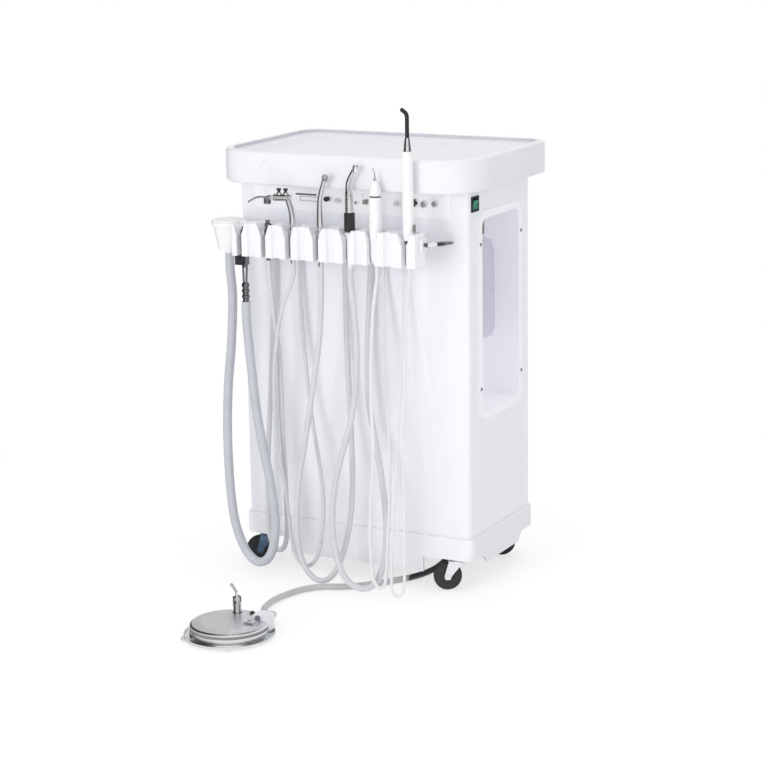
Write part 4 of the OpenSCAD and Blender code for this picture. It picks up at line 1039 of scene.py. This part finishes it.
@dataclass
class Studio:
    """Camera at the photograph's viewing angle, lamps, floor and surroundings."""

    lens: float = 103.62
    azimuth: float = 27.723
    elevation: float = 13.113
    roll: float = -0.921
    distance: float = 3.97394
    target: Point = (0.0, 0.0, 0.32817)
    shift: tuple[float, float] = (-0.00239, -0.0001)
    lamps: tuple[tuple[str, Point, float, float], ...] = (
        ("Key", (-0.9, -3.7, 0.95), 1.8, 37.0),
        ("SideFill", (3.4, -0.4, 1.0), 2.6, 12.0),
        ("Top", (0.2, 0.1, 3.1), 2.4, 13.5),
    )
    surround: float = 0.79
    paper_near: float = 0.6

    def build(self) -> None:
        """Make the camera, the lamps, the floor and the surroundings."""
        self._camera()
        for name, place, size, power in self.lamps:
            self._lamp(name, place, size, power)
        self._surroundings()
        self._floor()

    def _camera(self) -> None:
        """Place the camera by the angles that the photograph's lines give."""
        a, e, r = (math.radians(v) for v in (self.azimuth, self.elevation, self.roll))
        back = Vector((math.sin(a) * math.cos(e), -math.cos(a) * math.cos(e), math.sin(e)))
        right = Vector((math.cos(a), math.sin(a), 0.0))
        up = back.cross(right)
        right, up = right * math.cos(r) + up * math.sin(r), up * math.cos(r) - right * math.sin(r)
        data = bpy.data.cameras.new("Camera")
        data.lens = self.lens
        data.sensor_width = 36.0
        camera = bpy.data.objects.new("Camera", data)
        place = Vector(self.target) + back * self.distance + right * self.shift[0] + up * self.shift[1]
        camera.matrix_world = Matrix(
            (
                (right.x, up.x, back.x, place.x),
                (right.y, up.y, back.y, place.y),
                (right.z, up.z, back.z, place.z),
                (0.0, 0.0, 0.0, 1.0),
            )
        )
        bpy.context.scene.collection.objects.link(camera)
        bpy.context.scene.camera = camera
        bpy.context.scene.view_settings.view_transform = "Standard"

    def _lamp(self, name: str, place: Point, size: float, power: float) -> None:
        """Add one soft square lamp that points at the unit's middle."""
        data = bpy.data.lights.new(name, "AREA")
        data.size = size
        data.energy = power
        lamp = bpy.data.objects.new(name, data)
        lamp.location = place
        lamp.visible_camera = False
        lamp.visible_glossy = False
        lamp.rotation_mode = "QUATERNION"
        lamp.rotation_quaternion = (Vector((0.0, 0.0, 0.4)) - Vector(place)).to_track_quat("-Z", "Y")
        bpy.context.scene.collection.objects.link(lamp)

    def _card(self, g: Graph) -> Field:
        """Brightness that gloss finds in each direction: a dark card to the left and a grey one to the right.

        Args:
            g: The graph whose place, or direction, is looked up.

        Returns:
            The brightness, from 0 to 1.
        """
        a = math.radians(self.azimuth)
        x, y = g.axis("X"), g.axis("Y")
        right = x * math.cos(a) + y * math.sin(a)
        near = x * math.sin(a) - y * math.cos(a)
        reach = (right * right + near * near + 0.000001).root()
        dark = (0.0 - right / reach).ramp(0.1, 0.4) * (0.0 - near / reach).ramp(-0.88, -0.6)
        grey = (right / reach).ramp(0.3, 0.75) * (0.0 - near / reach).ramp(-0.9, -0.6)
        return 1.0 - dark * 0.96 - grey * 0.84

    def _surroundings(self) -> None:
        """Even pale surroundings, white to the camera, with cards that only gloss finds."""
        world = bpy.data.worlds.new("Surroundings")
        bpy.context.scene.world = world
        g = Graph("Surroundings", world)
        path = g.node("ShaderNodeLightPath")
        seen = Field(g, path.outputs["Is Camera Ray"]).most(Field(g, path.outputs["Is Transmission Ray"]))
        gloss = Field(g, path.outputs["Is Glossy Ray"])
        band = g.axis("Z").band(0.02, 0.3, 0.15)
        card = self._card(g) * (1.0 - band * 0.2)
        lit = gloss * card + (1.0 - gloss) * self.surround
        g.feed(g.shader.inputs["Color"], (1.0, 1.0, 1.0))
        g.feed(g.shader.inputs["Strength"], seen + (1.0 - seen) * lit)

    def _floor(self) -> None:
        """A wide white paper floor that keeps the unit's soft shadow near it."""
        g = Graph("FloorPaper")
        g.finish(base_color=g.blend(g.noise(4.0, 2.0) * 0.3, (0.96, 0.96, 0.96), (0.94, 0.94, 0.94)), roughness=0.9)
        path = g.node("ShaderNodeLightPath")
        camera, gloss = (Field(g, path.outputs[name]) for name in ("Is Camera Ray", "Is Glossy Ray"))
        x, y = g.axis("X") * 1.7, (g.axis("Y") + 0.2) * 1.4
        far = (x * x + y * y).root().ramp(0.75, 2.0)
        tone = camera * (1.1 - far * 0.1) + (1.0 - camera) * self._card(g)
        glow = g.node("ShaderNodeEmission", None, {"Color": (1.0, 1.0, 1.0), "Strength": tone})
        share = camera * (self.paper_near + far * (1.0 - self.paper_near)) + gloss * 0.85
        mixed = g.node(
            "ShaderNodeMixShader", None, {0: share, 1: g.shader.outputs[0], 2: glow.outputs[0]}
        )
        g.feed(g.tree.nodes["Material Output"].inputs["Surface"], mixed.outputs[0])
        bm = bmesh.new()
        bmesh.ops.create_circle(bm, cap_ends=True, segments=96, radius=28.0)
        floor = Workshop.publish(bm, "Floor", g.material)
        floor.location.z = -0.0005


@dataclass
class Hose:
    """One hose or cord that hangs from an instrument and goes back into the unit."""

    name: str
    node: str
    body: str
    diameter: float
    material: str
    route: Sequence[Point]
    stiffness: Stiffness = Stiffness.MEDIUM
    bend_from: Point | None = None
    bend_to: Point | None = None
    lay: str = "hanging"
    steps: int = 10

    def build(self, palette: Palette) -> bpy.types.Object:
        """Args:
            palette: The unit's materials.

        Returns:
            The hose's object.
        """
        route = [(x * MM, y * MM, z * MM) for x, y, z in self.route]
        line = Workshop.smooth_route(route, self.steps)
        sides = 24 if self.diameter > 7 else 16
        hose = Workshop.tube(line, self.diameter * MM / 2, self.name, palette[self.material], sides)
        length = sum((b - a).length for a, b in zip(line, line[1:]))
        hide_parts(self.node)
        "cord_white" if self.node == "instrument_cords" else "hose_rubber"
        if self.bend_from is None or self.bend_to is None:
            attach(hose, self.body)
        else:
            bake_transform(hose)
        LOG.info("%s: %.0f mm long, %.1f mm thick", self.name, length / MM, self.diameter)
        return hose


@dataclass
class HoseSet:
    """All hoses and cords, with routes in millimetres: the part's own, or close to them with a rounder loop."""

    hoses: list[Hose] = field(default_factory=list)

    def __post_init__(self) -> None:
        """Lay out the eight routes."""
        behind, before = (0.0, -138.0, 300.0), (0.0, -186.0, 300.0)
        self.hoses = [
            Hose("SuctionHose", "instrument_hoses", "suction", 16, "SuctionVinyl", SUCTION_ROUTE,
                 Stiffness.STIFF, (-206.0, -180.0, 300.0), (-176.0, -180.0, 300.0)),
            Hose("SalivaHose", "instrument_hoses", "saliva", 9, "HoseVinyl", SALIVA_ROUTE,
                 Stiffness.MEDIUM, (0.0, -151.0, 300.0), (0.0, -183.0, 300.0)),
        ]
        for tool, kind, node, diameter, vinyl, route in (
            ("Syringe", "Hose", "instrument_hoses", 7, "HoseVinyl", SYRINGE_ROUTE),
            ("Turbine", "Hose", "instrument_hoses", 10, "HoseVinyl", TURBINE_ROUTE),
            ("Motor", "Hose", "instrument_hoses", 11, "HoseVinyl", MOTOR_ROUTE),
            ("Scaler", "Cord", "instrument_cords", 6, "CordVinyl", SCALER_ROUTE),
            ("Light", "Cord", "instrument_cords", 5, "CordVinyl", LIGHT_ROUTE),
        ):
            self.hoses.append(
                Hose(tool + kind, node, tool.lower(), diameter, vinyl, route, bend_from=behind, bend_to=before)
            )
        self.hoses.append(Hose("FootHose", "foot_hose", "cart", 11, "FootVinyl", FOOT_ROUTE, lay="loose"))

    def build(self, palette: Palette) -> None:
        """Make every hose."""
        for hose in self.hoses:
            hose.build(palette)


SUCTION_ROUTE: tuple[Point, ...] = (
    (-217, -165, 580), (-217, -165, 550), (-212, -168, 500), (-215, -172, 420), (-222, -176, 340),
    (-224, -180, 260), (-221, -183, 175), (-214.5, -184, 110), (-204, -184, 70), (-188, -184, 40),
    (-167, -184.6, 25.5), (-146, -186, 33.5), (-131, -187.6, 62), (-125.5, -189, 112), (-134, -189, 180),
    (-155, -189, 290), (-166, -189, 390), (-172, -189, 464), (-172, -189, 500),
)
SALIVA_ROUTE: tuple[Point, ...] = (
    (-124, -189, 576), (-124, -189, 552), (-122, -184, 500), (-120, -168, 400), (-124, -158, 290),
    (-123, -154, 190), (-121.5, -154, 112), (-122.5, -153.6, 80), (-126, -152.6, 59), (-133, -151.4, 45.5),
    (-143, -150.4, 41), (-153, -149.6, 46), (-160, -148.6, 60), (-164, -147.4, 82), (-166, -145.6, 114),
    (-166, -140, 200), (-160, -134, 330), (-153, -129, 460), (-150, -127, 560), (-150, -127, 590),
)
SYRINGE_ROUTE: tuple[Point, ...] = (
    (-75, -189, 574), (-75, -189, 556), (-84, -189, 530), (-104, -188, 480), (-121, -183, 400),
    (-129, -175, 320), (-127, -171, 240), (-115, -170, 170), (-107, -171, 104), (-102.5, -172.4, 72),
    (-95, -174, 47.5), (-84, -175, 32.5), (-71.5, -175.6, 28), (-59.5, -175.4, 33.5), (-49.5, -174.6, 49),
    (-42.5, -172.4, 78), (-38, -168, 140), (-50, -158, 210), (-70, -146, 290), (-86, -137, 400),
    (-96, -130, 500), (-98, -127, 566), (-98, -127, 590),
)
TURBINE_ROUTE: tuple[Point, ...] = (
    (-21, -189, 572), (-21, -189, 550), (-23, -189, 500), (-28, -189, 440), (-42, -189, 360),
    (-60, -190, 260), (-75, -191, 180), (-80, -192, 110), (-75, -193, 60), (-60, -194, 26), (-37, -192, 10),
    (-14, -186, 20), (2, -178, 56), (12, -166, 110), (14, -156, 180), (8, -146, 270), (1, -139, 360),
    (-5, -132, 450), (-8, -127, 560), (-8, -127, 590),
)
MOTOR_ROUTE: tuple[Point, ...] = (
    (36, -189, 572), (36, -189, 550), (42, -190, 500), (46, -191, 440), (44, -192, 376), (34, -193, 310),
    (16, -195, 248), (2, -198, 190), (-3, -201, 130), (3, -204, 76), (22, -207, 30), (52, -206, 12), (80, -202, 24),
    (94, -194, 64), (93, -182, 126), (79, -167, 194), (58, -152, 268), (42, -143, 340), (38, -134, 440),
    (42, -127, 560), (42, -127, 590),
)
SCALER_ROUTE: tuple[Point, ...] = (
    (86, -189, 580), (86, -189, 558), (79, -192, 500), (76, -196, 420), (77, -200, 340), (82, -204, 256),
    (79, -208, 190), (76.5, -211, 128), (78.5, -213.4, 80), (81, -214.2, 50), (84.5, -214.4, 33.5),
    (90, -214.2, 24), (96.5, -213.8, 21), (102.5, -213.2, 25.5), (106, -212, 37), (107, -209, 62),
    (106.6, -202, 110), (104, -188, 190), (97, -174, 280), (86, -160, 380), (74, -142, 480), (66, -127, 566),
    (66, -127, 590),
)
LIGHT_ROUTE: tuple[Point, ...] = (
    (147, -189, 580), (147, -189, 558), (142, -190, 500), (138, -193, 420), (138, -197, 340),
    (139, -203, 240), (142, -209, 140), (144, -213.6, 72), (144, -215.6, 42), (142.4, -216.6, 24.5),
    (138, -217.4, 15.5), (131, -217.8, 12), (124, -217.4, 15.5), (119.6, -216.6, 24.5), (118, -213, 48),
    (117.6, -208, 92), (117, -194, 180), (116, -178, 280), (114, -160, 380), (111, -142, 480), (106, -127, 566),
    (106, -127, 590),
)
FOOT_ROUTE: tuple[Point, ...] = (
    (4, -440, 25), (4, -424, 25), (-8, -403, 18), (-34, -382, 9), (-54, -353, 6), (-61, -312, 6),
    (-56, -272, 6), (-44, -236, 6), (-22, -211, 6), (6, -197, 6), (32, -180, 6), (54, -156, 6), (74, -130, 6),
    (94, -102, 6), (108, -66, 6), (115, -28, 8), (118, 6, 16), (118, 28, 30), (118, 36, 44), (118, 36, 57),
)


@dataclass
class Worktop:
    """The moulded top: soft-edged rim, dished tray and a hollow underside."""

    width: float = 0.5
    depth: float = 0.35
    height: float = 0.76
    thickness: float = 0.056
    front_radius: float = 0.085
    rear_radius: float = 0.042
    rim: float = 0.014
    tray: float = 0.012
    corner: float = 0.018
    lip: float = 0.004
    mouth: tuple[float, float, float] = (0.4446, 0.2506, 0.009)

    def _loops(self) -> list[tuple[float, float]]:
        """Inset and height of each ring from the underside's edge over the rim to the tray's floor."""
        top, low = self.height, self.height - self.thickness
        edge = 0.0035
        loops = [(edge, low)]
        loops += [(edge * (1 - math.sin(a)), low + edge * (1 - math.cos(a))) for a in self._quarter()]
        loops += [(0.0, low + 0.02), (0.0, top - 0.02)]
        roll = 0.005
        loops += [(roll * (1 - math.cos(a)), top - roll + roll * math.sin(a)) for a in self._quarter()]
        loops += [(self.rim - roll * math.cos(a), top - roll * (1 - math.sin(a))) for a in reversed(self._quarter())]
        floor = top - self.tray
        sweep = self.corner
        loops += [
            (self.rim + 0.001 + sweep * (1 - math.cos(a)), floor + 0.006 * (1 - math.sin(a))) for a in self._quarter()
        ]
        return loops

    @staticmethod
    def _quarter() -> list[float]:
        """Angles across a quarter turn."""
        return [math.pi / 2 * k / 5 for k in range(6)]

    def build(self, palette: Palette) -> None:
        """Loft the top and close it with its tray floor and underside."""
        bm = bmesh.new()
        rings: list[list[bmesh.types.BMVert]] = []
        seen: set[tuple[float, float]] = set()
        for inset, z in self._loops():
            key = (round(inset, 6), round(z, 6))
            if key in seen:
                continue
            seen.add(key)
            outline = rounded_outline(
                self.width - 2 * inset, self.depth - 2 * inset, self.front_radius - inset, self.rear_radius - inset, 14
            )
            rings.append([bm.verts.new((x, y, z)) for x, y in outline])
        Workshop.skin(bm, rings)
        bm.faces.new(rings[-1])
        self._underside(bm, rings[0])
        top = Workshop.publish(bm, "WorktopMould", palette["WorktopMoulding"], smooth=50.0)
        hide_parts("worktop")
        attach(top, "cart")

    def _underside(self, bm: bmesh.types.BMesh, edge: list[bmesh.types.BMVert]) -> None:
        """Carry the lower edge in to the mouth that the cabinet plugs into, and up its wall."""
        width, depth, back = self.mouth
        low = self.height - self.thickness
        outline = [(x, y + back) for x, y in rounded_outline(width, depth, 0.0103, 0.0053, 14)]
        inner = [bm.verts.new((x, y, low)) for x, y in outline]
        wall = [bm.verts.new((x, y, low + self.lip)) for x, y in outline]
        Workshop.skin(bm, [edge, inner, wall])
        inset = rounded_outline(self.width - 2 * self.lip, self.depth - 2 * self.lip,
                                self.front_radius - self.lip, self.rear_radius - self.lip, 14)
        hollow = [bm.verts.new((x, y, low + self.lip)) for x, y in inset]
        ceiling = [bm.verts.new((x, y, self.height - self.tray - self.lip)) for x, y in inset]
        Workshop.skin(bm, [wall, hollow, ceiling])
        bm.faces.new(ceiling)


@dataclass
class Caster:
    """A caster's wheel: rubber tyre on a turned plastic hub."""

    side: Side
    swivel: tuple[float, float]
    turn: float
    radius: float = 0.025
    width: float = 0.018
    trail: float = 0.016
    fork: str = "ZincPlate"

    def _place(self) -> Matrix:
        """The wheel's centre and axle, with the axle along local Z."""
        a = math.radians(self.turn)
        x, y = self.swivel
        centre = Vector((x + self.trail * math.sin(a), y - self.trail * math.cos(a), self.radius))
        return Matrix.Translation(centre) @ Matrix.Rotation(a, 4, "Z") @ Matrix.Rotation(math.pi / 2, 4, "Y")

    def build(self, palette: Palette) -> None:
        """Turn the tyre and the hub and set them on the wheel's body."""
        place, half, r = self._place(), self.width / 2, self.radius
        node, body = f"wheel_{self.side.short}", f"wheel_{self.side.value}"
        tyre = Workshop.lathe(
            [
                (r * 0.7, -half + 0.001), (r * 0.72, -half + 0.0004), (r * 0.86, -half), (r * 0.93, -half + 0.001),
                (r * 0.975, -half + 0.003), (r * 0.995, -half + 0.006), (r, 0.0), (r * 0.995, half - 0.006),
                (r * 0.975, half - 0.003), (r * 0.93, half - 0.001), (r * 0.86, half), (r * 0.72, half - 0.0004),
                (r * 0.7, half - 0.001),
            ],
            f"Tyre_{self.side.short}", palette["TyreRubber"], place, 72,
        )
        hub = Workshop.lathe(
            [
                (0.0031, -half - 0.0002), (0.0062, -half - 0.0002), (0.0078, -half + 0.0012), (0.0082, -0.0045),
                (0.0095, -0.0032), (r * 0.58, -0.0032), (r * 0.61, -0.0045), (r * 0.62, -half + 0.0016),
                (r * 0.64, -half + 0.0008), (r * 0.705, -half + 0.0008), (r * 0.705, half - 0.0008),
                (r * 0.64, half - 0.0008), (r * 0.62, half - 0.0016), (r * 0.61, 0.0045), (r * 0.58, 0.0032),
                (0.0095, 0.0032), (0.0082, 0.0045), (0.0078, half - 0.0012), (0.0062, half + 0.0002),
                (0.0031, half + 0.0002),
            ],
            f"Hub_{self.side.short}", palette["HubDark"], place, 48,
        )
        for piece in (tyre, hub):
            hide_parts(node)
            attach(piece, body)
        palette.dress(f"fork_{self.side.short}", self.fork)


@dataclass
class Carcass:
    """Cabinet, base, side pocket, back and what stands inside."""

    dressing: Mapping[str, str] = field(
        default_factory=lambda: {
            "cabinet_shell": "CabinetCoat", "back_panel": "CabinetCoat", "base_tray": "BaseMoulding",
            "control_strip": "StripFasciaGlowPainted", "side_pocket": "PocketMouldingGlowPainted", "pocket_screws": "BrightChrome",
            "water_bottle": "BottleResin", "switch_frame": "SatinBlack", "switch_rocker": "RockerGreen",
            "chassis": "ZincPlate", "power_inlet": "SatinBlack", "compressor": "CastAlloy", "air_tank": "CastAlloy",
            "waste_bottle": "JarResin", "valve_manifold": "CastAlloy", "hose_ports": "HolderMoulding",
            "quick_connects": "PaleNickel", "water_knob": "SatinBlack", "air_knob": "KnobPale",
            "scaler_knob": "KnobGrey", "light_knob": "KnobPale", "toggle_switch": "SatinBlack",
            "panel_button": "SatinBlack",
        }
    )
    softened: Mapping[str, float] = field(
        default_factory=lambda: {
            "base_tray": 1.2, "control_strip": 0.6, "hose_ports": 0.8, "panel_button": 0.5, "cabinet_shell": 0.8,
        }
    )

    def build(self, palette: Palette) -> None:
        """Dress the cabinet's nodes and soften the edges that the light catches."""
        palette.dress_all(self.dressing, self.softened)


@dataclass
class InstrumentRow:
    """Holder bar, instruments and collector."""

    dressing: Mapping[str, str] = field(
        default_factory=lambda: {
            "holder_bar": "HolderMoulding", "collector_cup": "CupMoulding", "collector_lid": "CupMoulding",
            "suction_valve": "SmokedChrome", "suction_lever": "SmokedChrome", "saliva_valve": "SmokedChrome",
            "syringe_air_button": "SatinBlack", "syringe_water_button": "SatinBlack", "slow_motor": "MotorShell",
            "motor_collar": "CollarGrip", "scaler_body": "ScalerShell", "light_body": "LightShell",
            "light_button": "SatinGrey",
        }
    )
    softened: Mapping[str, float] = field(
        default_factory=lambda: {"holder_bar": 1.4, "light_button": 0.5, "suction_lever": 0.5}
    )
    turned: tuple[Spindle, ...] = (
        Spindle("TurbineHandle", "turbine_handpiece", "turbine", "InstrumentChrome", "chrome",
                ((-21, -189, 572), (-21, -189, 610), (-21, -189, 650), (-21, -189, 672), (-20.2, -189.1, 686),
                 (-17.2, -189.4, 700), (-13.4, -189.9, 712), (-10.4, -190.6, 721.5)),
                ((0, 4.4), (14, 4.4), (15, 5.6), (53.3, 5.6), (53.5, 7), (60, 7), (61, 6.2), (64, 6.2), (66, 6.6),
                 (88, 5.5), (108, 4.7), (125, 4.2), (150, 3.8))),
        Spindle("TurbineHead", "turbine_handpiece", "turbine", "DarkChrome", "chrome",
                ((-10.99, -186.32, 721.18), (-5.6, -196.46, 727.29)),
                ((0, 3.2), (1, 5.4), (3.2, 5.4), (3.5, 5.1), (4, 5.1), (4.3, 5.4), (10.5, 5.4), (10.8, 5),
                 (11.2, 4.9), (12.5, 4.7), (13, 3))),
        Spindle("SyringeHandle", "syringe_body", "syringe", "InstrumentChrome", "chrome",
                ((-75, -189, 574), (-75, -189, 610), (-75, -189, 640), (-75.2, -189, 655), (-77, -189.35, 667),
                 (-80, -189.9, 678), (-82.6, -190.3, 687)),
                ((0, 4.4), (8, 4.4), (11, 5.4), (16, 6), (51.1, 6), (51.3, 7.2), (58, 7.2), (62, 5.6), (88, 5.4),
                 (100, 5.2), (113, 5))),
        Spindle("SyringeHead", "syringe_body", "syringe", "InstrumentChrome", "chrome",
                ((-76.97, -189.35, 687), (-107.5, -194.73, 687)),
                ((0, 4.6), (0.8, 6.2), (4, 6.2), (4.4, 5.5), (5.2, 5.5), (5.6, 6.2), (25, 6.2), (25.4, 5.5),
                 (26.2, 5.5), (26.6, 6.2), (30.4, 6.2), (31, 5.2))),
        Spindle("SyringePostAir", "syringe_body", "syringe", "InstrumentChrome", "chrome",
                ((-85.83, -190.91, 688), (-85.83, -190.91, 696)), ((0, 4.4), (7, 4.4), (8, 3.6))),
        Spindle("SyringePostWater", "syringe_body", "syringe", "InstrumentChrome", "chrome",
                ((-97.65, -192.99, 688), (-97.65, -192.99, 696)), ((0, 4.4), (7, 4.4), (8, 3.6))),
        Spindle("SyringeNozzle", "syringe_nozzle", "nozzle", "InstrumentChrome", "chrome",
                ((-111.73, -195.48, 687), (-120.3, -196.99, 687), (-130.15, -198.72, 687), (-135.07, -199.59, 686.5),
                 (-140, -200.46, 684.8), (-146.89, -201.68, 681), (-153.78, -202.89, 677)),
                ((0, 4), (4.8, 4), (5.2, 3.4), (7, 2.2), (9, 1.9), (43.5, 1.9), (44.6, 1.3)), sides=32),
        Spindle("ContraAngleNeck", "contra_angle", "motor", "InstrumentChrome", "chrome",
                ((36, -189, 668), (36, -189, 690), (35.2, -189, 703), (34.4, -189.1, 712), (36.2, -189.4, 721),
                 (41, -189.7, 731), (48, -190, 742)),
                ((0, 5), (0.3, 7.3), (8, 7.3), (8.3, 7), (8.9, 7), (9.2, 7.3), (22, 7.3), (23, 7), (32, 6.6),
                 (38, 5.2), (46, 4.6), (60, 4), (76, 3.8))),
        Spindle("ContraAngleHead", "contra_angle", "motor", "PaleNickel", "chrome",
                ((47.6, -189.03, 736.3), (51.14, -190.83, 748.7)),
                ((0, 3.4), (2, 5.2), (9.8, 5.2), (10.2, 4.7), (10.8, 4.7), (11.2, 5.1), (12, 5), (13, 3.8))),
        Spindle("ScalerTip", "scaler_tip", "scaler", "InstrumentChrome", "brushed_steel",
                ((86, -189, 724), (86, -189, 729), (85.6, -189, 733), (85.1, -189, 737), (83.6, -189, 741.5),
                 (81.5, -189, 746)),
                ((0, 2.8), (3, 2.8), (5, 1.4), (9, 1.2), (14, 1.05), (22.3, 0.7)), sides=24),
        Spindle("LightRod", "light_guide", "guide", "SatinBlack", "black_plastic",
                ((147, -189, 786.3), (147, -189, 805), (147, -189, 822), (147, -189, 832.3), (146.51, -189, 835.4),
                 (145, -189, 838.3), (142.74, -189, 840.5), (139.3, -189, 842.9), (135.86, -189, 845.3)),
                ((0, 3.4), (45.5, 3.4), (55.2, 3.4), (55.6, 3), (56.2, 3), (56.6, 3.4), (62, 3.4), (63.9, 2.4)),
                sides=32),
        Spindle("SalivaTube", "saliva_tip", "saliva", "TipResin", "clear_plastic",
                ((-124, -189, 646), (-124, -189, 690), (-124, -189, 728), (-124, -189, 737), (-125.34, -189, 742),
                 (-129, -189, 745.66), (-134, -189, 747), (-139, -189, 745.66), (-142.66, -189, 742),
                 (-144, -189, 737), (-144, -189, 732), (-144, -189, 727)),
                ((0, 3), (124, 3), (125, 3.5), (131, 3.5), (132, 2.4)), sides=24),
        Spindle("LeftArm", "holder_arms", "cart", "SmokedChrome", "chrome",
                ((-124, -171, 614), (-124, -116, 614)), ((0, 3.5), (51, 3.5), (51.4, 9), (54, 9), (55, 8.4))),
        Spindle("RightArmEnd", "holder_arms", "cart", "SmokedChrome", "chrome",
                ((175, -186, 621), (181, -186, 621)), ((0, 3.2), (3, 3.4), (4, 4), (5.5, 4), (6.5, 3))),
        # painted highlight: this middle length of the chrome arm is white moulding that stands for its bright
        # highlight
        Spindle("RightArm", "holder_arms", "cart", "HolderMoulding", "white_moulding",
                ((180.4, -186, 621), (185.4, -158.9, 618.7)), ((0, 2.8), (1, 3.4), (26, 3.4), (27.6, 2.8))),
        Spindle("RightArmSleeve", "holder_arms", "cart", "SmokedChrome", "chrome",
                ((184.2, -165.6, 619.3), (193, -116, 615)),
                ((0, 2.2), (3, 3.5), (14, 4.2), (24, 4.1), (40, 3), (50.4, 1.8))),
    )

    def build(self, palette: Palette) -> None:
        """Dress the row's nodes and turn the instruments' bodies."""
        palette.dress_all(self.dressing, self.softened)
        for body in self.turned:
            body.build(palette)


@dataclass
class FootControl:
    """Round foot control on the floor, with the grey bellows that closes the gap under its treadle."""

    centre: tuple[float, float] = (-0.042, -0.487)
    bellows: Profile = ((62, 17.5), (64.4, 17.7), (64.6, 18.2), (63.4, 19.2), (64.6, 20.2), (64.4, 20.8), (62, 20.9))

    def build(self, palette: Palette) -> None:
        """Dress the foot control's nodes."""
        palette.dress("foot_base", "PedalAlloy")
        palette.dress("foot_disc", "TreadlePlateReflectionPainted")
        palette.dress("foot_button", "SatinBlack")
        palette.dress("foot_toggle", "BrightChrome")
        x, y = self.centre
        bellows = Workshop.lathe(
            [(r * MM, z * MM) for r, z in self.bellows], "TreadleBellows", palette["BellowsGrey"],
            Matrix.Translation((x, y, 0.0)), 96,
        )
        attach(bellows, "cart")
        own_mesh(bellows)


def main() -> None:
    """Build the unit's looks in order."""
    logging.basicConfig(level=logging.INFO, format="%(message)s")
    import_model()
    Studio().build()
    palette = Palette()
    HoseSet().build(palette)
    casters = (
        Caster(Side.FRONT_LEFT, (-0.19, -0.104), -62.0, fork="BlueZinc"),
        Caster(Side.FRONT_RIGHT, (0.19, -0.104), -62.0),
        Caster(Side.REAR_LEFT, (-0.19, 0.122), -10.0),
        Caster(Side.REAR_RIGHT, (0.19, 0.122), -50.0),
    )
    for part in (Worktop(), *casters, Carcass(), InstrumentRow(), FootControl()):
        part.build(palette)
        LOG.info("built %s", type(part).__name__)


if __name__ == "__main__":
    main()
